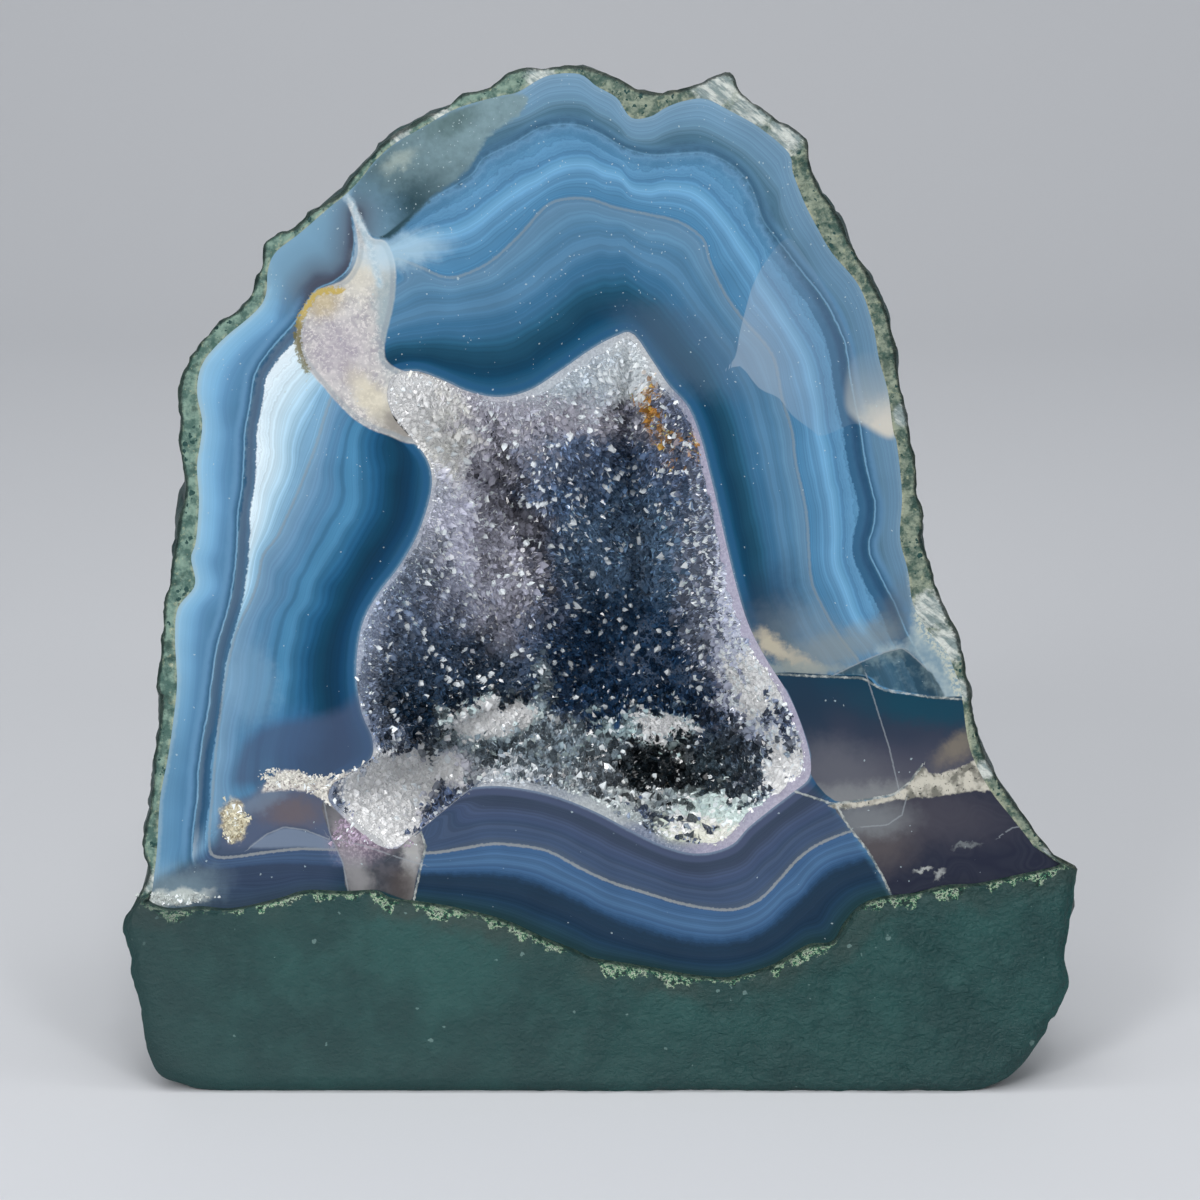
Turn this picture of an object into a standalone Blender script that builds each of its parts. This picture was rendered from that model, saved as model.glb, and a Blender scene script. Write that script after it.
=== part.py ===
"""Amethyst agate geode with a polished face and a sawn foot.

Two pieces are modelled. The stone is one solid: banded agate inside a basalt rind, sawn flat in front
and underneath, with a thick basalt foot left standing a little proud of the polished face. The crust of
amethyst crystals lines the hollow in the middle of the face.

Blender units are metres. X runs along the face, +Z is up, and the face looks towards -Y.
The origin is on the sawn underside, in the middle of the foot.
Points on the face are written as (x, s): millimetres to the right, and millimetres up the sloping face.
"""

import math
import random

import bmesh
import bpy
import numpy as np
from mathutils import Matrix, Vector, geometry

MM = 0.001

# The sawn planes
FACE_TILT = math.radians(12.0)  # how far the polished face leans back
FACE_FOOT_Y = -40.2  # where the polished plane meets the floor, in mm
LEDGE_HEIGHT = 1.2  # the painted foot stands this far in front of the agate at its highest point
FOOT_SWELL = 3.4  # and this much more at the floor
FOOT_TOP = 46.0  # highest point of the foot, up the face
EDGE_ROLL = 0.8  # how far the foot's outer edge is rounded back

# The body behind the face
STONE_THICKNESS = 92.0
STONE_MIDDLE = (0.0, 88.0)
UNDERSIDE_DROP = 30.0  # how far the round underside went below the saw cut
BACK_RINGS = 18
BROAD_LUMPS = 2.8
MIDDLING_LUMPS = 1.7
SMALL_LUMPS = 0.9

# The hollow and its crust
HOLLOW_MIDDLE = (8.0, 88.0)  # its deepest point
HOLLOW_DEPTH = 60.0  # from the face to the crystals at the back
CRUST_THICKNESS = 6.0
CRUST_GAP = 0.3
QUARTZ_RIM = 2.6  # the crust's own polished edge in the face
WALL_RINGS = 8
CRYSTAL_SPACING = 5.2
CRYSTAL_HEIGHT = (0.9, 3.0)

# Outline of the stone in the plane of the face, clockwise from the top. The run from (78.6, 0.8) to
# (-78, -1) is below the saw cut of the underside.
STONE_OUTLINE = [
    (0.0, 203.2), (8.0, 199.0), (14.6, 198.8), (20.6, 200.7), (24.8, 202.5), (27.8, 199.4), (35.8, 193.0),
    (41.1, 189.8), (42.0, 184.8), (46.8, 175.2), (53.0, 163.2), (56.6, 156.6), (58.4, 150.6), (60.6, 139.0),
    (62.4, 128.0), (63.6, 118.2), (64.8, 113.6), (64.4, 109.0), (68.2, 97.2), (72.6, 86.6), (73.6, 81.2),
    (75.0, 73.2), (77.2, 66.0), (80.8, 59.4), (88.8, 48.8), (92.2, 44.8), (94.8, 44.2), (95.2, 42.4),
    (94.2, 38.4), (93.8, 32.8), (93.2, 26.0), (93.6, 22.6), (92.2, 17.0), (88.8, 11.0), (83.6, 4.0),
    (78.6, 0.8), (66.0, -3.0), (44.0, -6.0), (20.0, -8.0), (-4.0, -9.0), (-28.0, -8.0), (-52.0, -6.0),
    (-70.0, -3.0), (-78.0, -1.0), (-84.0, 0.8), (-88.0, 3.2), (-90.4, 8.6), (-92.2, 17.0), (-93.9, 28.2),
    (-95.4, 31.2), (-93.4, 36.2), (-90.6, 41.0), (-91.8, 47.4), (-90.0, 57.4), (-89.4, 64.6), (-87.8, 76.0),
    (-88.8, 79.8), (-87.4, 94.4), (-85.0, 107.8), (-83.0, 119.4), (-84.2, 128.0), (-84.2, 138.6),
    (-82.8, 144.0), (-76.8, 152.2), (-71.4, 156.0), (-68.8, 161.2), (-67.3, 168.4), (-61.2, 171.4),
    (-57.6, 174.8), (-52.0, 178.2), (-45.6, 186.2), (-37.0, 192.4), (-27.0, 198.4), (-21.8, 199.8),
    (-17.1, 202.9), (-5.2, 203.8),
]  # fmt: skip

# Where the agate ends on the foot, from left to right
FOOT_LINE = [
    (-112.0, 38.0), (-90.0, 37.0), (-80.0, 35.6), (-67.0, 37.0), (-58.0, 39.6), (-51.0, 39.0), (-45.0, 39.6),
    (-36.4, 37.0), (-27.0, 35.2), (-12.0, 29.6), (-2.0, 25.6), (9.0, 23.8), (18.0, 22.0), (26.0, 21.6),
    (34.0, 24.4), (42.0, 28.4), (49.0, 33.0), (57.0, 38.0), (69.0, 40.4), (82.0, 42.2), (92.0, 44.2),
    (112.0, 45.4),
]  # fmt: skip

# Where the agate ends on the crystal crust, clockwise from the tip at the top
HOLLOW_OUTLINE = [
    (6.4, 150.4), (10.0, 145.6), (13.6, 140.2), (17.6, 135.6), (20.0, 129.8), (21.8, 123.0), (23.8, 114.6),
    (25.6, 106.6), (27.6, 98.6), (30.0, 91.4), (33.6, 84.6), (37.4, 78.6), (40.2, 72.2), (42.0, 65.8),
    (41.8, 61.4), (38.4, 58.4), (34.0, 55.0), (29.6, 51.4), (26.6, 48.2), (22.4, 46.6), (18.0, 46.4),
    (12.8, 47.8), (6.4, 50.8), (-0.5, 54.4), (-7.2, 57.2), (-14.0, 59.0), (-20.6, 59.8), (-27.0, 58.8),
    (-32.4, 55.0), (-36.6, 51.8), (-40.2, 49.0), (-43.8, 47.4), (-48.0, 49.4), (-52.0, 53.0), (-54.0, 57.8),
    (-52.4, 61.8), (-50.0, 64.6), (-48.8, 69.0), (-48.2, 74.6), (-48.2, 80.2), (-48.4, 86.0), (-47.4, 92.0),
    (-44.2, 98.6), (-40.0, 104.8), (-36.6, 110.8), (-34.6, 116.0), (-33.8, 121.0), (-34.8, 125.2),
    (-37.4, 129.0), (-40.8, 132.6), (-42.6, 137.6), (-41.4, 141.8), (-37.0, 142.8), (-32.0, 141.2),
    (-26.0, 138.6), (-20.0, 137.6), (-14.0, 139.0), (-8.0, 142.8), (-2.0, 147.0), (2.8, 149.6),
]  # fmt: skip

# Bumps of the crust's wall, each (x, s, height towards the face, radius along x, radius along s)
WALL_BUMPS = [
    (-13.0, 96.0, 13.0, 6.0, 26.0),  # the rib between the two bays of the hollow
    (-24.0, 70.0, 9.0, 9.0, 7.0),  # left mound of the floor
    (10.0, 68.0, 12.0, 12.0, 6.5),  # right mound of the floor
    (-2.0, 128.0, 8.0, 14.0, 10.0),  # brow under the tip
]


def on_face(x, s, out=0.0):
    """World position of a point (x, s) of the face, lifted out of the face by out. All in millimetres."""
    y = FACE_FOOT_Y + s * math.sin(FACE_TILT) - out * math.cos(FACE_TILT)
    z = s * math.cos(FACE_TILT) + out * math.sin(FACE_TILT)
    return Vector((x, y, z)) * MM


def face_matrix():
    """Turns an object's own XY plane into the plane of the face, with its Z out of the face."""
    right = Vector((1, 0, 0))
    up = Vector((0, math.sin(FACE_TILT), math.cos(FACE_TILT)))
    out = right.cross(up)
    turn = Matrix((right, up, out)).transposed().to_4x4()
    return Matrix.Translation(on_face(0, 0)) @ turn


def smooth_step(value):
    value = min(1.0, max(0.0, value))
    return value * value * (3 - 2 * value)


def closed_curve(points, count):
    """count points, evenly spaced along the closed Catmull-Rom curve through the given ones."""
    given = np.array(points, float)
    fine = []
    for a, b, c, d in zip(np.roll(given, 1, 0), given, np.roll(given, -1, 0), np.roll(given, -2, 0)):
        for t in np.linspace(0, 1, 12, endpoint=False):
            bend = 2 * b + (c - a) * t + (2 * a - 5 * b + 4 * c - d) * t**2 + (3 * b - a - 3 * c + d) * t**3
            fine.append(bend / 2)
    fine = np.array(fine + [fine[0]])
    length = np.concatenate([[0], np.cumsum(np.linalg.norm(np.diff(fine, axis=0), axis=1))])
    wanted = np.linspace(0, length[-1], count, endpoint=False)
    return np.column_stack([np.interp(wanted, length, fine[:, k]) for k in (0, 1)])


def inset(outline, distance):
    """The clockwise outline moved inwards by that distance."""
    along = np.roll(outline, -1, 0) - np.roll(outline, 1, 0)
    along /= np.linalg.norm(along, axis=1)[:, None]
    return outline + distance * np.column_stack([along[:, 1], -along[:, 0]])


def shaped_sphere(name, segments, rings, place):
    """An object made from a UV sphere. place(i, ring) gives the world position of the vertex at segment i of
    each ring; ring 0 is the pole that becomes the front, and the last ring is the other pole."""
    bm = bmesh.new()
    bmesh.ops.create_uvsphere(bm, u_segments=segments, v_segments=rings, radius=1)
    where = {}
    for vertex in bm.verts:
        ring = round(math.acos(max(-1.0, min(1.0, vertex.co.z))) / math.pi * rings)
        i = round(-math.atan2(vertex.co.y, vertex.co.x) / (2 * math.pi) * segments) % segments
        where[vertex] = (i, ring)
    for vertex, (i, ring) in where.items():
        vertex.co = place(i, ring)
    turn_outwards(bm)
    mesh = bpy.data.meshes.new(name)
    made = bpy.data.objects.new(name, mesh)
    return made, bm


def turn_outwards(bm):
    bmesh.ops.recalc_face_normals(bm, faces=bm.faces)
    if bm.calc_volume(signed=True) < 0:
        bmesh.ops.reverse_faces(bm, faces=bm.faces)


def finish_mesh(obj, bm, material, collection):
    bm.to_mesh(obj.data)
    bm.free()
    obj.data.materials.append(material)
    collection.objects.link(obj)
    return obj


def principled(name, colour, roughness, transmission=0.0):
    made = bpy.data.materials.new(name)
    made.use_nodes = True
    shader = made.node_tree.nodes["Principled BSDF"]
    shader.inputs["Base Color"].default_value = (*colour, 1)
    shader.inputs["Roughness"].default_value = roughness
    shader.inputs["Transmission Weight"].default_value = transmission
    made.diffuse_color = (*colour, 1)
    return made


def cut_with(obj, cutter):
    modifier = obj.modifiers.new("cut_" + cutter.name, "BOOLEAN")
    modifier.operation = "DIFFERENCE"
    modifier.solver = "EXACT"
    modifier.object = cutter


def hide_helper(obj):
    obj.hide_render = True
    obj.display_type = "WIRE"


# The stone

STONE_SEGMENTS = 116


def foot_front(s):
    """How far the painted foot stands in front of the polished plane at that height."""
    return LEDGE_HEIGHT + FOOT_SWELL * (1 - min(1.0, max(0.0, s / FOOT_TOP)))


def rear_outline(front):
    """The stone's outline well behind the face: smoother, and rounder and lower at its underside."""
    rear = front.copy()
    for _ in range(14):
        rear = 0.25 * np.roll(rear, 1, 0) + 0.5 * rear + 0.25 * np.roll(rear, -1, 0)
    for point in rear:
        point[1] -= UNDERSIDE_DROP * smooth_step((24 - point[1]) / 24)
    return rear


def lumps(at):
    """Height of the back's lumps and dents at a world position: three sizes of waves crossing each other."""
    x, y, z = at / MM
    broad = math.sin(x / 15 + 1.1) * math.sin(y / 17 + 0.6) * math.cos(z / 19 + 0.3)
    middling = math.sin((x + y) / 9.5 + 2.2) * math.sin((z - y) / 11 + 0.7)
    small = math.sin((x - z) / 6.3 + 0.5) * math.sin((y + z) / 5.7 + 1.9)
    return (BROAD_LUMPS * broad + MIDDLING_LUMPS * middling + SMALL_LUMPS * small) * MM


def back_points():
    """Points of the back as (turn, share of the way round), evenly spread: turn is 0 at the face and a quarter
    turn at the point furthest back. The first ones lie along the edge of the face."""
    points = []
    for ring in range(BACK_RINGS):
        turn = ring / BACK_RINGS * math.pi / 2
        count = max(7, round(STONE_SEGMENTS * math.cos(turn)))
        for i in range(count):
            points.append((turn, (i + 0.5 * (ring % 2)) / count))
    points.append((math.pi / 2, 0.0))
    return points


def build_stone_blank(material, collection):
    """The whole nodule behind the front saw cut, with its rounded back and its sawn underside."""
    front = closed_curve(STONE_OUTLINE, STONE_SEGMENTS)
    rear = rear_outline(front)
    middle = np.array(STONE_MIDDLE)
    bm = bmesh.new()

    def outline_at(outline, share):
        steps = np.arange(STONE_SEGMENTS)
        at = share * STONE_SEGMENTS
        return np.array([np.interp(at, steps, outline[:, k], period=STONE_SEGMENTS) for k in (0, 1)])

    def place_behind(turn, share):
        depth = STONE_THICKNESS * math.sin(turn)
        blend = smooth_step(depth / 26)
        edge = (1 - blend) * outline_at(front, share) + blend * outline_at(rear, share)
        x, s = middle + math.cos(turn) ** 0.9 * (edge - middle)
        at = on_face(x, s, -depth)
        outwards = (at - on_face(*STONE_MIDDLE, -20)).normalized()
        return at + outwards * lumps(at) * smooth_step(depth / 14)

    points = back_points()
    on_disc = []
    for turn, share in points:
        radius = 1 - turn / (math.pi / 2)
        on_disc.append(Vector((math.cos(share * 2 * math.pi), math.sin(share * 2 * math.pi))) * radius)
    edge_loop = [(i, (i + 1) % STONE_SEGMENTS) for i in range(STONE_SEGMENTS)]
    triangles = geometry.delaunay_2d_cdt(on_disc, edge_loop, [], 1, 1e-7)[2]
    back = [bm.verts.new(place_behind(turn, share)) for turn, share in points]
    for corners in triangles:
        bm.faces.new([back[k] for k in corners])

    rings = [back[:STONE_SEGMENTS]]
    for scale, rolled in ((0.988, EDGE_ROLL), (0.955, 0.0), (0.55, 0.0)):
        flat = middle + scale * (front - middle)
        rings.append([bm.verts.new(on_face(x, s, foot_front(s) - rolled)) for x, s in flat])
    centre = bm.verts.new(on_face(*middle, foot_front(middle[1])))
    for i in range(STONE_SEGMENTS):
        j = (i + 1) % STONE_SEGMENTS
        for outer, inner in zip(rings, rings[1:]):
            bm.faces.new((outer[i], outer[j], inner[j], inner[i]))
        bm.faces.new((rings[-1][i], rings[-1][j], centre))

    turn_outwards(bm)
    bmesh.ops.bisect_plane(
        bm,
        geom=bm.verts[:] + bm.edges[:] + bm.faces[:],
        dist=1e-6,
        plane_co=(0, 0, 0),
        plane_no=(0, 0, -1),
        clear_outer=True,
    )
    bmesh.ops.holes_fill(bm, edges=[edge for edge in bm.edges if edge.is_boundary])
    turn_outwards(bm)
    stone = bpy.data.objects.new("geode_stone", bpy.data.meshes.new("geode_stone"))
    return finish_mesh(stone, bm, material, collection)


def build_face_saw(material, collection):
    """A flat block over the agate: its lower edge is the line of the foot, its back is the polished plane."""
    thickness = 12.0
    outline = bpy.data.curves.new("face_saw_outline", "CURVE")
    outline.dimensions = "2D"
    outline.fill_mode = "BOTH"
    outline.extrude = thickness / 2 * MM
    corners = [(112.0, 225.0), (-112.0, 225.0)]
    spline = outline.splines.new("POLY")
    spline.points.add(len(FOOT_LINE) + len(corners) - 1)
    spline.use_cyclic_u = True
    for point, (x, s) in zip(spline.points, FOOT_LINE + corners):
        point.co = (x * MM, s * MM, thickness / 2 * MM, 1)
    curve = bpy.data.objects.new("face_saw_outline", outline)
    collection.objects.link(curve)
    curve.matrix_world = face_matrix()
    return solid_from_curve(curve, "face_saw", material, collection)


def solid_from_curve(curve, name, material, collection):
    """The curve's evaluated shape as one closed mesh, in the curve's place. The curve is removed."""
    bpy.context.view_layer.update()
    graph = bpy.context.evaluated_depsgraph_get()
    mesh = bpy.data.meshes.new_from_object(curve.evaluated_get(graph))
    bm = bmesh.new()
    bm.from_mesh(mesh)
    bmesh.ops.remove_doubles(bm, verts=bm.verts, dist=1e-6)
    turn_outwards(bm)
    bm.to_mesh(mesh)
    bm.free()
    made = bpy.data.objects.new(name, mesh)
    made.matrix_world = curve.matrix_world
    mesh.materials.clear()
    mesh.materials.append(material)
    collection.objects.link(made)
    bpy.data.objects.remove(curve)
    return made


# The hollow and the crust of crystals

HOLLOW_SEGMENTS = 80


def steepness(x, s):
    """How fast the hollow deepens from this point of its edge: slowly on the upper left, fast elsewhere."""
    away = np.array([x, s]) - np.array(HOLLOW_MIDDLE)
    towards_upper_left = away @ np.array([-0.8, 0.6]) / np.linalg.norm(away)
    return 2.9 - 1.35 * smooth_step((towards_upper_left + 0.1) / 1.1)


def wall_bump(x, s):
    """Height of the crust's ribs and mounds at a point of the hollow."""
    total = 0.0
    for bump_x, bump_s, height, wide, tall in WALL_BUMPS:
        total += height * math.exp(-(((x - bump_x) / wide) ** 2) - ((s - bump_s) / tall) ** 2)
    return total


def build_hollow_cutter(material, collection):
    """The space that the crust fills in the agate, carried 10 mm out of the face to cut it cleanly."""
    edge = closed_curve(HOLLOW_OUTLINE, HOLLOW_SEGMENTS)
    middle = np.array(HOLLOW_MIDDLE)
    full_depth = HOLLOW_DEPTH + CRUST_THICKNESS

    def place(i, ring):
        if ring == 0:
            return on_face(*middle, 10)
        if ring == 1:
            return on_face(*edge[i], 10)
        inwards = (ring - 2) / WALL_RINGS
        x, s = middle + (1 - inwards) * (edge[i] - middle)
        return on_face(x, s, -full_depth * (1 - (1 - inwards) ** (steepness(*edge[i]) + 0.6)))

    cutter, bm = shaped_sphere("hollow_cutter", HOLLOW_SEGMENTS, WALL_RINGS + 2, place)
    return finish_mesh(cutter, bm, material, collection)


def crust_depth(x, s, edge_angles, inner):
    """Depth below the face of the crystals' feet at the point (x, s) of the hollow."""
    away = np.array([x, s]) - np.array(HOLLOW_MIDDLE)
    angle = math.atan2(away[1], away[0])
    rim_x = np.interp(angle, edge_angles, inner[:, 0], period=2 * math.pi)
    rim_s = np.interp(angle, edge_angles, inner[:, 1], period=2 * math.pi)
    reach = math.hypot(rim_x - HOLLOW_MIDDLE[0], rim_s - HOLLOW_MIDDLE[1])
    share = max(0.0, 1 - math.hypot(*away) / reach)
    depth = HOLLOW_DEPTH * (1 - (1 - share) ** steepness(rim_x, rim_s))
    return depth - wall_bump(x, s) * smooth_step(share / 0.35)


def crystal_feet(inner, draw):
    """Points where crystals meet, evenly spread over the crust: closer together in (x, s) on steep walls.
    The first ones are the inner edge of the rim itself."""
    middle = np.array(HOLLOW_MIDDLE)
    feet = [tuple(point) for point in inner]
    for inwards in (0.035, 0.075, 0.125, 0.18, 0.25, 0.33, 0.42, 0.52, 0.63, 0.75, 0.87):
        ring = middle + (1 - inwards) * (inner - middle)
        perimeter = np.linalg.norm(ring - np.roll(ring, 1, 0), axis=1).sum()
        count = round(perimeter / CRYSTAL_SPACING)
        for point in closed_curve(ring, count):
            loose = min(1.4, 14 * inwards)
            feet.append((point[0] + draw.uniform(-loose, loose), point[1] + draw.uniform(-loose, loose)))
    feet.append(tuple(middle))
    return feet


def build_crust(material, collection):
    """The crust: a shell against the agate, a polished quartz rim in the face, and pointed crystals inside."""
    edge = closed_curve(HOLLOW_OUTLINE, HOLLOW_SEGMENTS)
    outer = inset(edge, CRUST_GAP)
    inner = inset(edge, CRUST_GAP + QUARTZ_RIM)
    middle = np.array(HOLLOW_MIDDLE)
    full_depth = HOLLOW_DEPTH + CRUST_THICKNESS - CRUST_GAP
    draw = random.Random(11)
    bm = bmesh.new()

    rings = []
    for step in range(WALL_RINGS):
        share = step / WALL_RINGS
        ring = []
        for i in range(HOLLOW_SEGMENTS):
            x, s = middle + (1 - share) * (outer[i] - middle)
            down = full_depth * (1 - (1 - share) ** (steepness(*edge[i]) + 0.6))
            ring.append(bm.verts.new(on_face(x, s, -down)))
        rings.append(ring)
    back = bm.verts.new(on_face(*middle, -full_depth))

    feet = crystal_feet(inner, draw)
    rim_edges = [(i, (i + 1) % HOLLOW_SEGMENTS) for i in range(HOLLOW_SEGMENTS)]
    flat = [Vector(point) for point in feet]
    spread, _, triangles, _, _, _ = geometry.delaunay_2d_cdt(flat, rim_edges, [], 1, 1e-5)
    angles = np.unwrap(np.arctan2(inner[:, 1] - middle[1], inner[:, 0] - middle[0]))
    order = np.argsort(angles)
    inner_verts = []
    for k, (x, s) in enumerate(spread):
        down = 0.0 if k < HOLLOW_SEGMENTS else max(0.8, crust_depth(x, s, angles[order], inner[order]))
        inner_verts.append(bm.verts.new(on_face(x, s, -down)))

    for i in range(HOLLOW_SEGMENTS):
        j = (i + 1) % HOLLOW_SEGMENTS
        bm.faces.new((inner_verts[i], inner_verts[j], rings[0][j], rings[0][i]))
        for near, far in zip(rings, rings[1:]):
            bm.faces.new((near[i], near[j], far[j], far[i]))
        bm.faces.new((rings[-1][i], rings[-1][j], back))
    crystals = [bm.faces.new([inner_verts[k] for k in corners]) for corners in triangles]
    turn_outwards(bm)
    for face in crystals:
        if face.calc_area() > 1.5 * MM**2:
            grow_crystal(bm, face, draw)
    mesh = bpy.data.meshes.new("amethyst_crust")
    return finish_mesh(bpy.data.objects.new("amethyst_crust", mesh), bm, material, collection)


def grow_crystal(bm, face, draw):
    """Turns one triangle of the crust into a pointed crystal with three flat faces."""
    normal = face.normal.copy()
    width = math.sqrt(face.calc_area())
    height = min(draw.uniform(*CRYSTAL_HEIGHT) * MM, 0.8 * width)
    tip = bmesh.ops.poke(bm, faces=[face])["verts"][0]
    lean = Vector([draw.uniform(-0.14, 0.14) * width for _ in range(3)])
    tip.co += normal * height + lean


def main():
    for obj in list(bpy.data.objects):
        bpy.data.objects.remove(obj)
    parts = bpy.data.collections.new("amethyst_agate_geode")
    cutters = bpy.data.collections.new("cutters")
    bpy.context.scene.collection.children.link(parts)
    bpy.context.scene.collection.children.link(cutters)

    basalt = principled("painted_basalt", (0.035, 0.085, 0.085), 0.55)
    agate = principled("polished_agate", (0.13, 0.24, 0.38), 0.08)
    amethyst = principled("amethyst", (0.26, 0.22, 0.38), 0.12, transmission=0.3)

    stone = build_stone_blank(basalt, parts)
    saw = build_face_saw(agate, cutters)
    hollow = build_hollow_cutter(agate, cutters)
    for cutter in (saw, hollow):
        hide_helper(cutter)
        cut_with(stone, cutter)
    build_crust(amethyst, parts)


main()
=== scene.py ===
# Amethyst agate geode: a polished slice through banded agate, an open hollow full of amethyst points,
# and a painted basalt foot. Metres, +Z up. The polished face looks towards -Y and leans back.
# Places on the face are (x, s) in millimetres: x to the right, s up the sloping face.

import bpy
import numpy as np
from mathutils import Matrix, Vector


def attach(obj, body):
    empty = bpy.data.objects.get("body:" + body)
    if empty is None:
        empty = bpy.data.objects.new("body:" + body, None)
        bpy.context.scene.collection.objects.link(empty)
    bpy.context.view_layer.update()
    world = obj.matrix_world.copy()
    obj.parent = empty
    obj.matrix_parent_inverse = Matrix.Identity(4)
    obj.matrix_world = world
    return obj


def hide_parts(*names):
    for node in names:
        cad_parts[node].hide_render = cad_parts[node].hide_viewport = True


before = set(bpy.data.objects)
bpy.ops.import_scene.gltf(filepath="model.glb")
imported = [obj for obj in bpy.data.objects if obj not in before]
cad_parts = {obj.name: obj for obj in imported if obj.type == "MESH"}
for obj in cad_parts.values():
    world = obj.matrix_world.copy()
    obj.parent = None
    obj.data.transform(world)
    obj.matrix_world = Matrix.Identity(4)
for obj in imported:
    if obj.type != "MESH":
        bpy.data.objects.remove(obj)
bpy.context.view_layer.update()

mm = 0.001
photoFoot = (600, 1085)  # the pixel of the photograph where x and s are 0
photoScale = 0.2  # millimetres on the face for one pixel
face = {"tilt": np.radians(12.0), "footY": -40.2, "middle": np.array([8.0, 88.0])}
foot = {"ledge": 1.2, "swell": 3.4, "top": 46.0}
back = {
    "thickness": 92.0,
    "middle": np.array([0.0, 88.0]),
    "drop": 30.0,  # the underside behind the face went this far below the saw cut
    "smoothing": 14.6,  # how far along the outline its jags are evened out behind the face
    "broad": 2.8,
    "middling": 1.7,
    "small": 0.9,
}
hollow = {"depth": 60.0, "crust": 6.0}

# Lines of the stone, in pixels of the photograph. Closed ones run clockwise from the left or the top.

silhouette = [
    (160, 1071), (148, 1042), (139, 1000), (133, 981), (130, 944), (123, 929), (133, 904), (143, 888),
    (148, 871), (141, 848), (143, 838), (150, 798), (153, 762), (161, 705), (156, 686), (160, 659),
    (163, 613), (168, 583), (175, 546), (181, 510), (185, 488), (179, 448), (180, 421), (179, 392),
    (186, 365), (196, 348), (216, 324), (243, 305), (256, 279), (263, 256), (264, 241), (279, 232),
    (294, 228), (312, 211), (340, 194), (352, 176), (372, 154), (392, 136), (415, 123), (445, 105),
    (465, 93), (491, 86), (514, 70), (574, 66), (613, 76), (640, 90), (673, 91), (703, 81), (724, 72),
    (734, 76), (739, 88), (756, 103), (779, 120), (805, 136), (809, 156), (817, 183), (834, 209),
    (849, 239), (865, 269), (883, 302), (892, 332), (900, 378), (907, 411), (912, 445), (917, 468),
    (918, 494), (924, 514), (922, 540), (930, 563), (941, 599), (955, 629), (963, 652), (968, 679),
    (975, 719), (986, 755), (1004, 788), (1024, 815), (1044, 841), (1061, 861), (1074, 865), (1076, 873),
    (1074, 895), (1069, 921), (1066, 958), (1067, 977), (1061, 1000), (1044, 1030), (1018, 1065),
    (993, 1081), (955, 1089), (801, 1090), (674, 1090), (483, 1090), (355, 1089), (221, 1088), (183, 1081),
]  # fmt: skip

footLine = [
    (40, 895), (130, 899), (150, 901), (170, 908), (200, 906), (233, 908), (279, 898), (306, 890),
    (345, 891), (375, 890), (392, 898), (418, 901), (465, 909), (508, 921), (541, 936), (574, 949),
    (591, 957), (613, 961), (646, 966), (689, 974), (729, 977), (766, 967), (786, 957), (809, 944),
    (832, 941), (845, 921), (862, 904), (885, 896), (912, 893), (945, 885), (978, 883), (1011, 876),
    (1044, 869), (1060, 864), (1160, 858),
]  # fmt: skip

rindLine = [
    (152, 892), (157, 850), (160, 800), (168, 757), (173, 723), (177, 683), (175, 639), (178, 608),
    (195, 585), (191, 558), (196, 541), (199, 500), (197, 466), (201, 439), (202, 419), (197, 392),
    (202, 365), (221, 341), (262, 304), (268, 270), (276, 252), (300, 233), (330, 207), (344, 196),
    (360, 180), (376, 160), (397, 142), (420, 129), (449, 112), (470, 104), (500, 96), (518, 92),
    (547, 76), (579, 74), (596, 86), (617, 98), (627, 114), (636, 119), (652, 116), (665, 108), (684, 101),
    (706, 99), (732, 112), (760, 128), (789, 153), (792, 170), (805, 204), (818, 229), (832, 253),
    (859, 286), (873, 326), (879, 359), (888, 392), (893, 430), (897, 445), (902, 495), (900, 538),
    (908, 571), (913, 604), (928, 631), (946, 651), (955, 672), (961, 690), (967, 735), (974, 760),
    (990, 790), (1012, 818), (1030, 841), (1042, 858),
]  # fmt: skip

hollowEdge = [
    (632, 333), (650, 357), (668, 384), (688, 407), (700, 436), (709, 470), (719, 512), (728, 552),
    (738, 592), (750, 628), (768, 662), (787, 692), (801, 724), (810, 756), (809, 778), (792, 793),
    (770, 810), (748, 828), (733, 844), (712, 852), (690, 853), (664, 846), (632, 831), (598, 813),
    (564, 799), (530, 790), (497, 786), (465, 789), (438, 800), (420, 814), (412, 832), (399, 848),
    (380, 846), (358, 830), (338, 812), (328, 798), (334, 782), (352, 772), (371, 758), (372, 738),
    (362, 714), (357, 684), (357, 655), (363, 622), (378, 594), (398, 568), (416, 538), (428, 505),
    (432, 480), (427, 459), (413, 440), (396, 422), (387, 397), (393, 376), (415, 371), (440, 379),
    (470, 392), (500, 397), (530, 390), (560, 371), (590, 350), (614, 337),
]  # fmt: skip

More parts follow.
